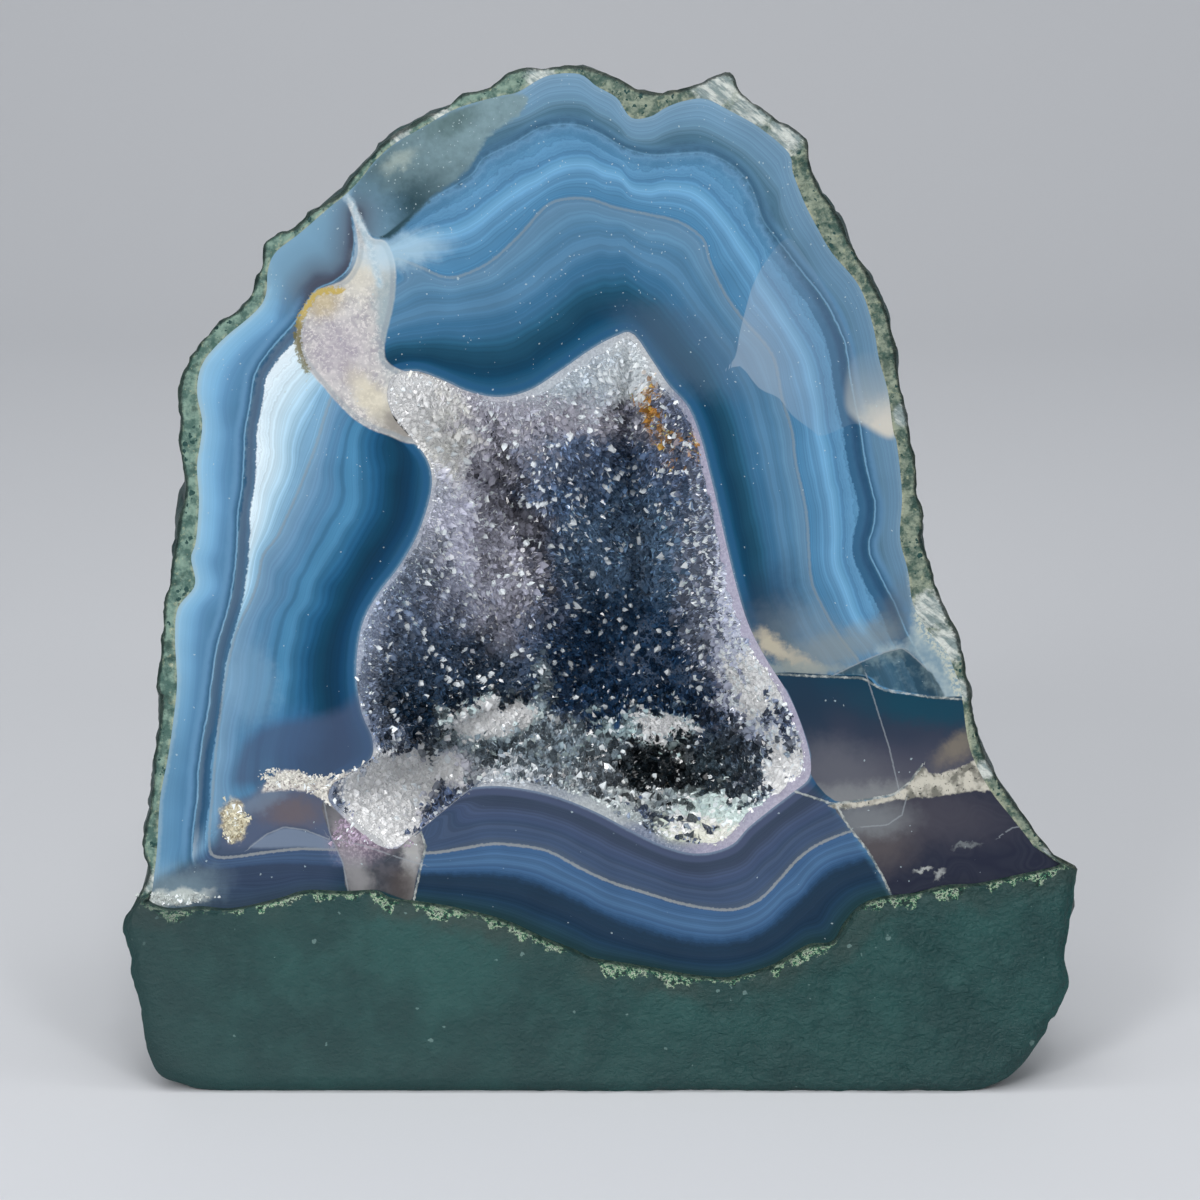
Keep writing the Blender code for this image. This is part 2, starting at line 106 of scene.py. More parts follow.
# Lines that the agate's bands follow, from the hollow outwards
creamLine = [
    (388, 262), (415, 265), (440, 276), (460, 276), (490, 262), (520, 235), (545, 207), (565, 199),
    (590, 199), (613, 207), (646, 214), (679, 222), (703, 239), (709, 259), (722, 289), (742, 318),
    (766, 345), (776, 365), (782, 398), (792, 431), (796, 464), (806, 510), (809, 553), (812, 583),
    (822, 606), (839, 636), (855, 656), (862, 669), (872, 692), (880, 715), (888, 745), (895, 780),
    (900, 806), (892, 820), (855, 830), (832, 838), (812, 848), (796, 861), (779, 880), (759, 900),
    (736, 909), (712, 909), (679, 903), (646, 893), (613, 883), (580, 868), (548, 851), (514, 845),
    (491, 844), (465, 848), (432, 853), (400, 852), (345, 850), (300, 849), (262, 853), (234, 857),
    (214, 856), (209, 842), (212, 800), (215, 760), (222, 700), (231, 650), (240, 622), (252, 598),
    (259, 575), (263, 555), (277, 537), (288, 514), (296, 496), (305, 474), (316, 445), (325, 415),
    (332, 395), (345, 360), (362, 315),
]  # fmt: skip

darkLine = [
    (316, 289), (334, 281), (349, 267), (354, 241), (351, 220), (353, 205), (362, 222), (372, 236),
    (387, 234), (426, 202), (470, 177), (483, 159), (512, 144), (541, 128), (572, 124), (601, 134),
    (623, 148), (652, 155), (681, 153), (706, 153), (729, 164), (745, 180), (755, 200), (762, 222),
    (779, 247), (804, 280), (828, 316), (841, 350), (847, 390), (854, 424), (860, 464), (869, 500),
    (869, 522), (864, 548), (874, 575), (892, 610), (904, 638), (920, 668), (934, 700), (945, 740),
    (957, 780), (974, 820), (960, 848), (915, 858), (866, 868), (831, 883), (800, 912), (775, 936),
    (741, 951), (694, 953), (640, 940), (600, 924), (556, 902), (509, 887), (462, 882), (428, 880),
    (344, 872), (291, 868), (253, 869), (205, 873), (193, 862), (193, 840), (197, 800), (200, 756),
    (208, 709), (212, 677), (216, 650), (223, 624), (231, 598), (235, 570), (237, 540), (239, 512),
    (243, 484), (244, 458), (245, 430), (250, 401), (256, 372), (270, 350), (284, 335), (297, 318),
    (306, 303),
]  # fmt: skip

# Patches that break or cover the bands
patches = {
    "cloud": [  # dark speckled agate under the rind, upper left
        (352, 196), (362, 176), (392, 145), (430, 122), (470, 104), (508, 94), (528, 98), (520, 114),
        (505, 124), (485, 140), (474, 160), (458, 178), (436, 194), (418, 212), (400, 230), (386, 240),
        (374, 236), (362, 216),
    ],
    "pocket": [  # granular quartz filling that leads down to the hollow, flush with the face
        (316, 291), (330, 285), (343, 280), (353, 268), (358, 250), (355, 224), (346, 199), (353, 202),
        (362, 222), (372, 238), (386, 241), (395, 262), (396, 284), (393, 309), (386, 338), (385, 357),
        (393, 366), (406, 372), (425, 380), (460, 400), (470, 450), (445, 480), (431, 462), (421, 446),
        (405, 443), (392, 437), (380, 433), (368, 428), (355, 420), (345, 411), (335, 401), (325, 389),
        (312, 374), (302, 359), (297, 345), (297, 330), (302, 312), (309, 300),
    ],
    "lens": [  # painted reflection: a paler sheen on the polish, right of the top
        (787, 238), (804, 255), (826, 290), (846, 330), (858, 372), (866, 415), (868, 424), (852, 424),
        (838, 430), (820, 436), (812, 430), (792, 415), (779, 398), (759, 388), (740, 366), (722, 373),
        (735, 358), (740, 332), (747, 305), (753, 285), (766, 261),
    ],
    "amber": [  # warm translucent flake by the rind
        (857, 356), (871, 354), (881, 364), (888, 388), (897, 402), (903, 412), (896, 432), (888, 436),
        (871, 427), (850, 412), (847, 391), (850, 367),
    ],
    "block": [  # dark block between two fractures, right of the hollow
        (775, 673), (830, 675), (866, 676), (882, 690), (929, 697), (972, 700), (984, 742), (990, 760),
        (965, 776), (935, 780), (915, 784), (901, 792), (868, 799), (835, 801), (811, 775), (811, 755),
        (801, 723), (787, 690),
    ],
    "corner": [  # smoky block below it
        (835, 806), (868, 801), (901, 795), (948, 790), (996, 787), (1030, 818), (1072, 852), (1060, 872),
        (978, 884), (912, 894), (893, 896), (882, 875), (868, 851), (849, 827),
    ],
    "ridge": [  # broken white ridge between the two blocks
        (829, 804), (862, 800), (893, 795), (909, 783), (921, 767), (934, 774), (960, 767), (984, 756),
        (994, 764), (1004, 792), (985, 791), (958, 793), (930, 797), (900, 800), (868, 806), (838, 809),
    ],
    "arc": [  # dark sliver of glass over the first block
        (834, 675), (848, 668), (863, 661), (885, 652), (902, 648), (912, 655), (926, 668), (934, 676),
        (945, 697), (929, 696), (884, 688), (868, 676),
    ],
    "feather": [  # milky rind, right
        (912, 575), (917, 600), (914, 630), (900, 655), (880, 650), (905, 648), (926, 668), (944, 696),
        (970, 700), (962, 676), (951, 652), (938, 626), (926, 600), (917, 575),
    ],
    "vein": [  # grey quartz vein under the hollow's left arm
        (323, 800), (330, 834), (343, 863), (348, 892), (376, 890), (397, 897), (412, 900), (416, 880),
        (422, 859), (426, 846), (418, 826), (404, 800), (370, 812),
    ],
    "arm": [  # clear agate left of the hollow's left arm
        (221, 846), (218, 816), (232, 799), (248, 796), (267, 780), (292, 784), (330, 788), (330, 838),
        (305, 830), (284, 828), (267, 835), (250, 848), (236, 850),
    ],
    "milk": [  # pale lens below it
        (249, 848), (258, 839), (267, 834), (284, 827), (305, 830), (331, 840), (334, 850), (300, 848),
        (270, 849),
    ],
    "smoke": [  # smoky wedge between the bands and the left arm's crystals
        (362, 688), (342, 706), (310, 716), (270, 722), (246, 738), (234, 760), (232, 786), (262, 788),
        (292, 786), (330, 786), (380, 776), (385, 740), (374, 712),
    ],
    "sugar": [  # crystals cut through by the saw along the arm
        (262, 792), (268, 781), (284, 770), (298, 772), (316, 779), (332, 781), (356, 770), (360, 800),
        (345, 812), (330, 804), (317, 795), (296, 790), (278, 790),
    ],
}  # fmt: skip

cracks = {
    "white": [  # open fractures with broken white edges
        [(775, 674), (812, 676), (862, 678), (884, 690), (929, 697), (972, 700)],
        [(790, 790), (812, 797), (833, 804), (862, 800), (893, 795), (909, 783), (921, 767)],
        [(838, 808), (849, 827), (868, 851), (882, 875), (891, 895)],
        [(406, 800), (419, 826), (426, 847), (421, 866), (414, 899)],
    ],
    "fine": [  # hairlines
        [(834, 675), (848, 668), (863, 661), (885, 652), (902, 648), (912, 655), (926, 668)],
        [(866, 674), (877, 709), (889, 747), (899, 790)],
        [(332, 838), (365, 846), (400, 858), (424, 865)],
        [(324, 802), (330, 834), (343, 863), (348, 890)],
        [(249, 848), (267, 834), (284, 827), (305, 830), (331, 840)],
        [(861, 827), (887, 825), (902, 815), (906, 799)],
        [(1000, 836), (1012, 828), (1022, 826)],
    ],
    "snow": [  # milk white seam that climbs from the pocket to the rind
        [(343, 192), (352, 204), (360, 222), (368, 240), (374, 262), (380, 285)],
    ],
    "rust": [  # yellow iron stain on the pocket's edge
        [(342, 291), (328, 290), (316, 294), (307, 306), (300, 320), (297, 338), (300, 356), (307, 370)],
    ],
    "chamber": [  # painted shade: the floor of the small chamber above the pocket, darkest along this line
        [(356, 214), (354, 241), (350, 266), (336, 280), (318, 281), (308, 292), (297, 318), (270, 352)],
    ],
}  # fmt: skip


def fromPhoto(points):
    # x = pixels right of the foot's middle, s = pixels above it, both times the scale
    pixels = np.array(points, float)
    return np.column_stack([pixels[:, 0] - photoFoot[0], photoFoot[1] - pixels[:, 1]]) * photoScale


def onFace(x, s, out=0.0):
    # metres: s climbs the leaning plane, out stands off it along its normal
    y = face["footY"] + s * np.sin(face["tilt"]) - out * np.cos(face["tilt"])
    z = s * np.cos(face["tilt"]) + out * np.sin(face["tilt"])
    return np.stack(np.broadcast_arrays(x, y, z), -1) * mm


def smoothStep(value, low=0.0, high=1.0):
    t = np.clip((value - low) / (high - low), 0, 1)
    return t * t * (3 - 2 * t)


def smoothLoop(points, steps=6):
    # closed Catmull-Rom curve through the points, with that many steps between each two
    a, b, c, d = (np.roll(points, shift, 0)[:, None] for shift in (1, 0, -1, -2))
    t = np.linspace(0, 1, steps, endpoint=False)[None, :, None]
    curve = 2 * b + (c - a) * t + (2 * a - 5 * b + 4 * c - d) * t**2 + (3 * b - a - 3 * c + d) * t**3
    return curve.reshape(-1, 2) / 2


def reach(loop, angles, middle):
    # how far a ray from the middle goes to its last crossing of the loop
    start = loop - middle
    along = np.roll(loop, -1, 0) - loop
    ray = np.stack([np.cos(angles), np.sin(angles)], -1)[:, None]
    cross = ray[..., 0] * along[:, 1] - ray[..., 1] * along[:, 0]
    cross = np.where(np.abs(cross) < 1e-9, 1e-9, cross)
    share = (start[:, 0] * ray[..., 1] - start[:, 1] * ray[..., 0]) / cross
    far = (start[:, 0] * along[:, 1] - start[:, 1] * along[:, 0]) / cross
    return np.where((share >= 0) & (share < 1) & (far > 0), far, 0).max(1)


def lineDistance(points, line, closed=False):
    # distance from each point to the nearest stretch of the line, and on which side of it the point lies
    start = line if closed else line[:-1]
    along = (np.roll(line, -1, 0) if closed else line[1:]) - start
    nearest = np.full(len(points), np.inf)
    side = np.ones(len(points))
    for a, step in zip(start, along):
        away = points - a
        t = np.clip(away @ step / max(step @ step, 1e-9), 0, 1)
        distance = np.hypot(*(away - t[:, None] * step).T)
        cross = step[0] * away[:, 1] - step[1] * away[:, 0]
        side = np.where(distance < nearest, np.sign(cross), side)
        nearest = np.minimum(nearest, distance)
    return nearest, side


def insideDistance(points, loop):
    # distance to a closed loop, positive inside it and negative outside
    inside = np.zeros(len(points), bool)
    for a, b in zip(loop, np.roll(loop, -1, 0)):
        spans = (a[1] > points[:, 1]) != (b[1] > points[:, 1])
        drop = b[1] - a[1] if a[1] != b[1] else 1e-9
        inside ^= spans & (points[:, 0] < a[0] + (points[:, 1] - a[1]) / drop * (b[0] - a[0]))
    return np.where(inside, 1, -1) * lineDistance(points, loop, True)[0]


def latticeNoise(points, size, seed):
    # random values on a cubic lattice of that size in mm, blended smoothly between its corners, -1 to 1
    cells = points / size + 100.37
    base = np.floor(cells).astype(np.uint64)
    t = cells - np.floor(cells)
    t = t * t * (3 - 2 * t)
    total = 0
    for corner in range(8):
        step = np.array([corner & 1, corner >> 1 & 1, corner >> 2], np.uint64)
        cell = base + step
        mixed = cell[..., 0] * 73856093 ^ cell[..., 1] * 19349663 ^ cell[..., 2] * 83492791 ^ seed * 2654435761
        mixed = (mixed ^ mixed >> np.uint64(13)) * np.uint64(1274126177) & np.uint64(0xFFFFFFFF)
        mixed = (mixed ^ mixed >> np.uint64(16)) & np.uint64(0xFFFF)
        weight = np.prod(np.where(step == 1, t, 1 - t), -1)
        total = total + weight * (mixed / 32767.5 - 1)
    return total


def roughNoise(points, size, seed, layers=3):
    # lattice noise summed with half the size and half the height for each further layer
    return sum(latticeNoise(points, size / 2**k, seed + k) / 2**k for k in range(layers))


def gridLoops(rings, columns):
    # faces of a closed ball of rings between two poles: pole, rings of columns, pole
    i = np.arange(columns)
    j = (i + 1) % columns
    firstFan = np.stack([np.zeros_like(i), 1 + i, 1 + j], -1)
    last = 1 + (rings - 1) * columns
    lastFan = np.stack([np.full_like(i, last + columns), last + j, last + i], -1)
    near = 1 + np.arange(rings - 1)[:, None] * columns
    quads = np.stack([near + i, near + columns + i, near + columns + j, near + j], -1).reshape(-1, 4)
    return [firstFan, quads, lastFan]


def makeMesh(name, points, facesets, attributes, smooth=True):
    # one mesh object from arrays of points and of faces with three, four or more corners
    facesets = [np.asarray(faces) for faces in facesets]
    volume = 0.0
    for faces in facesets:
        for k in range(1, faces.shape[1] - 1):
            a, b, c = (points[faces[:, n]] for n in (0, k, k + 1))
            volume += np.einsum("ij,ij->", a, np.cross(b, c))
    if volume < 0:
        facesets = [faces[:, ::-1] for faces in facesets]
    corners = np.concatenate([faces.ravel() for faces in facesets]).astype(np.int32)
    sizes = np.concatenate([np.full(len(faces), faces.shape[1]) for faces in facesets])
    starts = np.concatenate([[0], np.cumsum(sizes)[:-1]]).astype(np.int32)
    mesh = bpy.data.meshes.new(name)
    mesh.vertices.add(len(points))
    mesh.vertices.foreach_set("co", np.asarray(points, np.float32).ravel())
    mesh.loops.add(len(corners))
    mesh.loops.foreach_set("vertex_index", corners)
    mesh.polygons.add(len(sizes))
    mesh.polygons.foreach_set("loop_start", starts)
    mesh.polygons.foreach_set("use_smooth", np.full(len(sizes), smooth))
    mesh.update(calc_edges=True)
    for label, values in attributes.items():
        values = np.asarray(values, np.float32)
        if values.ndim == 1:
            mesh.attributes.new(label, "FLOAT", "POINT").data.foreach_set("value", values)
        elif values.shape[1] == 2:
            flat = np.column_stack([values, np.zeros(len(values), np.float32)])
            mesh.attributes.new(label, "FLOAT_VECTOR", "POINT").data.foreach_set("vector", flat.ravel())
        else:
            rgba = np.column_stack([values, np.ones(len(values), np.float32)])
            mesh.attributes.new(label, "FLOAT_COLOR", "POINT").data.foreach_set("color", rgba.ravel())
    mesh.validate()
    if smooth:
        mesh.set_sharp_from_angle(angle=np.radians(38))
    piece = bpy.data.objects.new(name, mesh)
    bpy.context.scene.collection.objects.link(piece)
    return piece


def mountPiece(piece, node, material):
    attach(piece, "root")
    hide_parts(node)
    piece.data.materials.append(material)
    triangles = sum(face.loop_total - 2 for face in piece.data.polygons)
    print(piece.name, "has", triangles, "triangles")
    return piece


# Node helpers


def colour(code):
    # linear colour of a six-digit hex code
    parts = [int(code[k : k + 2], 16) / 255 for k in (0, 2, 4)]
    return tuple(c / 12.92 if c <= 0.04045 else ((c + 0.055) / 1.055) ** 2.4 for c in parts) + (1.0,)


def add(tree, kind, inputs=None, output=0, **settings):
    node = tree.nodes.new("ShaderNode" + kind)
    for key, value in settings.items():
        setattr(node, key, value)
    for key, value in (inputs or {}).items():
        if isinstance(value, bpy.types.NodeSocket):
            tree.links.new(value, node.inputs[key])
        else:
            node.inputs[key].default_value = value
    return node.outputs[output]


def maths(tree, operation, a, b=0.0):
    return add(tree, "Math", {0: a, 1: b}, operation=operation)


def times(tree, *values):
    result = values[0]
    for value in values[1:]:
        result = maths(tree, "MULTIPLY", result, value)
    return result


def shifted(tree, value, wobble, amount):
    # value moved by up to half the amount each way, by a noise that runs from 0 to 1
    return maths(tree, "ADD", times(tree, maths(tree, "SUBTRACT", wobble, 0.5), amount), value)


def blend(tree, factor, a, b, mode="MIX"):
    a = colour(a) if isinstance(a, str) else a
    b = colour(b) if isinstance(b, str) else b
    return add(tree, "Mix", {0: factor, 6: a, 7: b}, 2, data_type="RGBA", blend_type=mode)


def step(tree, value, low, high):
    # 0 below low, 1 above high, smooth between. High may be the lower of the two
    return add(tree, "MapRange", {0: value, 1: low, 2: high, 3: 0.0, 4: 1.0}, interpolation_type="SMOOTHSTEP")


def spread(tree, value, low, high):
    # a noise's middle range stretched to run from low to high
    return add(tree, "MapRange", {0: value, 1: 0.3, 2: 0.7, 3: low, 4: high})


def noise(tree, vector, size, detail=3.0, roughness=0.55, distortion=0.0):
    # cloudy noise with features of that size in mm
    inputs = {"Scale": 1 / (size * mm), "Detail": detail, "Roughness": roughness, "Distortion": distortion}
    return add(tree, "TexNoise", {"Vector": vector, **inputs})


def stripes(tree, value, perUnit, detail=2.0):
    # uneven stripes across a value, that many to each unit of it
    inputs = {"W": times(tree, value, perUnit), "Scale": 1.0, "Detail": detail, "Roughness": 0.6}
    return add(tree, "TexNoise", inputs, noise_dimensions="1D")


def readValue(tree, label):
    return add(tree, "Attribute", output=2, attribute_name=label)


def warped(tree, vector, wobble, amount):
    # a vector moved by a colour noise, up to half the amount each way
    offset = add(tree, "VectorMath", {0: wobble, 1: (0.5, 0.5, 0.5)}, operation="SUBTRACT")
    offset = add(tree, "VectorMath", {0: offset, "Scale": amount}, operation="SCALE")
    return add(tree, "VectorMath", {0: vector, 1: offset}, operation="ADD")


def oval(tree, place, centre, radii, turn=0.0, soft=0.5):
    # soft patch on the face: centre in pixels, radii in mm, 1 in its middle and fading out to 0
    x, s = fromPhoto([centre])[0]
    inputs = {"Vector": place, "Location": (x, s, 0.0), "Rotation": (0.0, 0.0, turn), "Scale": (*radii, 1.0)}
    near = add(tree, "Mapping", inputs, vector_type="TEXTURE")
    return step(tree, add(tree, "VectorMath", {0: near}, 1, operation="LENGTH"), 1 + soft, 1 - soft)


def ramp(tree, value, span, stops):
    # colour stops placed along value, which runs from 0 to span
    node = tree.nodes.new("ShaderNodeValToRGB")
    elements = node.color_ramp.elements
    while len(elements) < len(stops):
        elements.new(1.0)
    for element, (place, code) in zip(elements, stops):
        element.position = place / span
    for element, (place, code) in zip(elements, stops):
        element.color = colour(code)
    tree.links.new(maths(tree, "DIVIDE", value, span), node.inputs[0])
    return node.outputs[0]


def newMaterial(name):
    material = bpy.data.materials.new(name)
    material.use_nodes = True
    tree = material.node_tree
    shader = tree.nodes["Principled BSDF"]
    where = add(tree, "TexCoord", output=3)
    return material, tree, shader, where


def bump(tree, height, depth, strength=1.0):
    return add(tree, "Bump", {"Height": height, "Distance": depth * mm, "Strength": strength})


def specksGroup():
    # grains: cells of a Voronoi pattern whose own random value is under the share asked for
    tree = bpy.data.node_groups.new("Grain specks", "ShaderNodeTree")
    tree.interface.new_socket("Vector", in_out="INPUT", socket_type="NodeSocketVector")
    for label in ("Scale", "Share", "Radius"):
        tree.interface.new_socket(label, in_out="INPUT", socket_type="NodeSocketFloat")
    tree.interface.new_socket("Mask", in_out="OUTPUT", socket_type="NodeSocketFloat")
    given = tree.nodes.new("NodeGroupInput").outputs
    cells = tree.nodes.new("ShaderNodeTexVoronoi")
    tree.links.new(given["Vector"], cells.inputs["Vector"])
    tree.links.new(given["Scale"], cells.inputs["Scale"])
    parts = tree.nodes.new("ShaderNodeSeparateColor")
    tree.links.new(cells.outputs["Color"], parts.inputs[0])
    chosen = maths(tree, "LESS_THAN", parts.outputs[0], given["Share"])
    radius = times(tree, given["Radius"], maths(tree, "ADD", parts.outputs[1], 0.35))
    near = maths(tree, "LESS_THAN", cells.outputs["Distance"], radius)
    result = tree.nodes.new("NodeGroupOutput")
    tree.links.new(times(tree, chosen, near), result.inputs["Mask"])
    return tree


grainSpecks = specksGroup()


def specks(tree, vector, size, share, radius=0.4):
    node = tree.nodes.new("ShaderNodeGroup")
    node.node_tree = grainSpecks
    tree.links.new(vector, node.inputs["Vector"])
    node.inputs["Scale"].default_value = 1 / (size * mm)
    for key, value in (("Share", share), ("Radius", radius)):
        if isinstance(value, bpy.types.NodeSocket):
            tree.links.new(value, node.inputs[key])
        else:
            node.inputs[key].default_value = value
    return node.outputs["Mask"]


# Outlines shared by the pieces

columns = 720
outline = smoothLoop(fromPhoto(silhouette))
opening = smoothLoop(fromPhoto(hollowEdge))
footEdge = fromPhoto(footLine)
wall = smoothLoop(np.concatenate([fromPhoto(rindLine), footEdge[2:-1][::-1]]))


def evenAngles(count):
    # directions from the hollow's middle that cut the stone's outline into equal lengths
    angles = np.linspace(np.pi, -np.pi, 4001)
    far = reach(outline, angles, face["middle"])
    edge = far[:, None] * np.column_stack([np.cos(angles), np.sin(angles)])
    length = np.concatenate([[0], np.cumsum(np.hypot(*np.diff(edge, axis=0).T))])
    return np.interp(np.linspace(0, length[-1], count, endpoint=False), length, angles)


angles = evenAngles(columns)
heading = np.column_stack([np.cos(angles), np.sin(angles)])
hollowReach = reach(opening, angles, face["middle"])
stoneReach = reach(outline, angles, face["middle"])
wallReach = np.minimum(reach(wall, angles, face["middle"]), stoneReach - 0.5)


def steepness(x, s):
    # the hollow deepens slowly from its upper left edge and fast from the others
    away = np.stack([x, s], -1) - face["middle"]
    upperLeft = away @ np.array([-0.8, 0.6]) / np.hypot(away[..., 0], away[..., 1])
    return 2.9 - 1.35 * smoothStep(upperLeft, -0.1, 1.0)


def footFront(s):
    return foot["ledge"] + foot["swell"] * (1 - np.clip(s / foot["top"], 0, 1))


def ball(firstPole, rings, lastPole):
    return np.concatenate([firstPole.reshape(1, 3), np.concatenate(rings), lastPole.reshape(1, 3)])


def facePlaces(points):
    # (x, s) of world points
    x = points[:, 0] / mm
    s = (points[:, 1] / mm - face["footY"]) * np.sin(face["tilt"]) + points[:, 2] / mm * np.cos(face["tilt"])
    return np.column_stack([x, s])


# The agate: the polished face, the wall of the hollow, and a hidden rounded back inside the basalt

agate = {"wallRings": 9, "faceRings": 100, "backRings": 8, "backDepth": 80.0, "bandSoftness": 7}


def buildAgate():
    # radius runs from the hollow's deepest point to its edge, over the face, and back behind it
    rings = []
    fullDepth = hollow["depth"] + hollow["crust"]
    edge = face["middle"] + hollowReach[:, None] * heading
    steep = steepness(edge[:, 0], edge[:, 1]) + 0.6
    for k in range(1, agate["wallRings"]):
        share = 1 - k / agate["wallRings"]
        x, s = (face["middle"] + (1 - share) * (edge - face["middle"])).T
        rings.append(onFace(x, s, -fullDepth * (1 - (1 - share) ** steep)))
    for t in np.linspace(0, 1, agate["faceRings"]):
        radius = hollowReach + (wallReach - hollowReach) * t
        x, s = (face["middle"] + radius[:, None] * heading).T
        rings.append(onFace(x, s, 0.0))
    for k in range(1, agate["backRings"]):
        turn = k / agate["backRings"] * np.pi / 2
        radius = wallReach * np.cos(turn) ** 0.5 - 0.6
        x, s = (face["middle"] + radius[:, None] * heading).T
        rings.append(onFace(x, s, -agate["backDepth"] * np.sin(turn)))
    points = ball(onFace(*face["middle"], -fullDepth), rings, onFace(*face["middle"], -agate["backDepth"]))
    return points, gridLoops(len(rings), columns)


def bandField(places):
    # 0 on the hollow's edge, 1 on the cream line, 2 on the dark line, 3 at the rind:
    # between two lines it is the nearer one's value plus the share of the way to the next
    loops = [opening, smoothLoop(fromPhoto(creamLine), 3), smoothLoop(fromPhoto(darkLine), 3), wall]
    inside = [insideDistance(places, loop) for loop in loops]
    away = np.abs(inside)
    share = [away[k] / (away[k] + away[k + 1] + 1e-6) for k in range(3)]
    band = np.where(inside[1] >= 0, share[0], np.where(inside[2] >= 0, 1 + share[1], 2 + share[2]))
    return np.where(inside[0] > 0, 0.0, band), inside


def softened(band, inside):
    # away from the lines themselves, the bands' corners are rounded by averaging along the rings
    count = agate["faceRings"] * columns
    first = 1 + (agate["wallRings"] - 1) * columns
    rings = band[first : first + count].reshape(-1, columns)
    offsets = np.arange(-3 * agate["bandSoftness"], 3 * agate["bandSoftness"] + 1)
    weights = np.exp(-0.5 * (offsets / agate["bandSoftness"]) ** 2)
    blurred = sum(w * np.roll(rings, k, 1) for w, k in zip(weights / weights.sum(), offsets))
    nearest = np.abs(inside[:, first : first + count]).min(0).reshape(-1, columns)
    share = smoothStep(nearest, 0.6, 4.0)
    band[first : first + count] = (rings + (blurred - rings) * share).ravel()
    return band


def agateAttributes(points):
    places = facePlaces(points)
    band, inside = bandField(places)
    inside = np.array(inside)
    left = [(100, 150), (352, 180), (372, 300), (420, 460), (440, 560), (380, 700), (352, 765), (262, 800)]
    left += [(215, 840), (193, 862), (120, 900)]
    below = [(193, 862), (262, 800), (345, 790), (440, 780), (560, 760), (700, 820), (800, 770), (850, 820)]
    below += [(900, 900), (820, 1000), (100, 1000), (120, 900)]
    values = {
        "facePlace": places,
        "band": softened(band, inside),
        "edgeDistance": -inside[0],
        "creamDistance": inside[1],
        "darkDistance": inside[2],
        "rindDistance": inside[3],
        "leftSide": insideDistance(places, fromPhoto(left)),
        "lowerSide": insideDistance(places, fromPhoto(below)),
    }
    for label, loop in patches.items():
        values[label] = insideDistance(places, smoothLoop(fromPhoto(loop), 3))
    for label, lines in cracks.items():
        reached = [lineDistance(places, fromPhoto(line)) for line in lines]
        away = np.array([distance for distance, side in reached])
        sides = np.array([side for distance, side in reached])
        nearest = away.argmin(0)[None]
        values["near_" + label] = np.take_along_axis(away, nearest, 0)[0]
        values["across_" + label] = np.take_along_axis(away * sides, nearest, 0)[0]
    return values


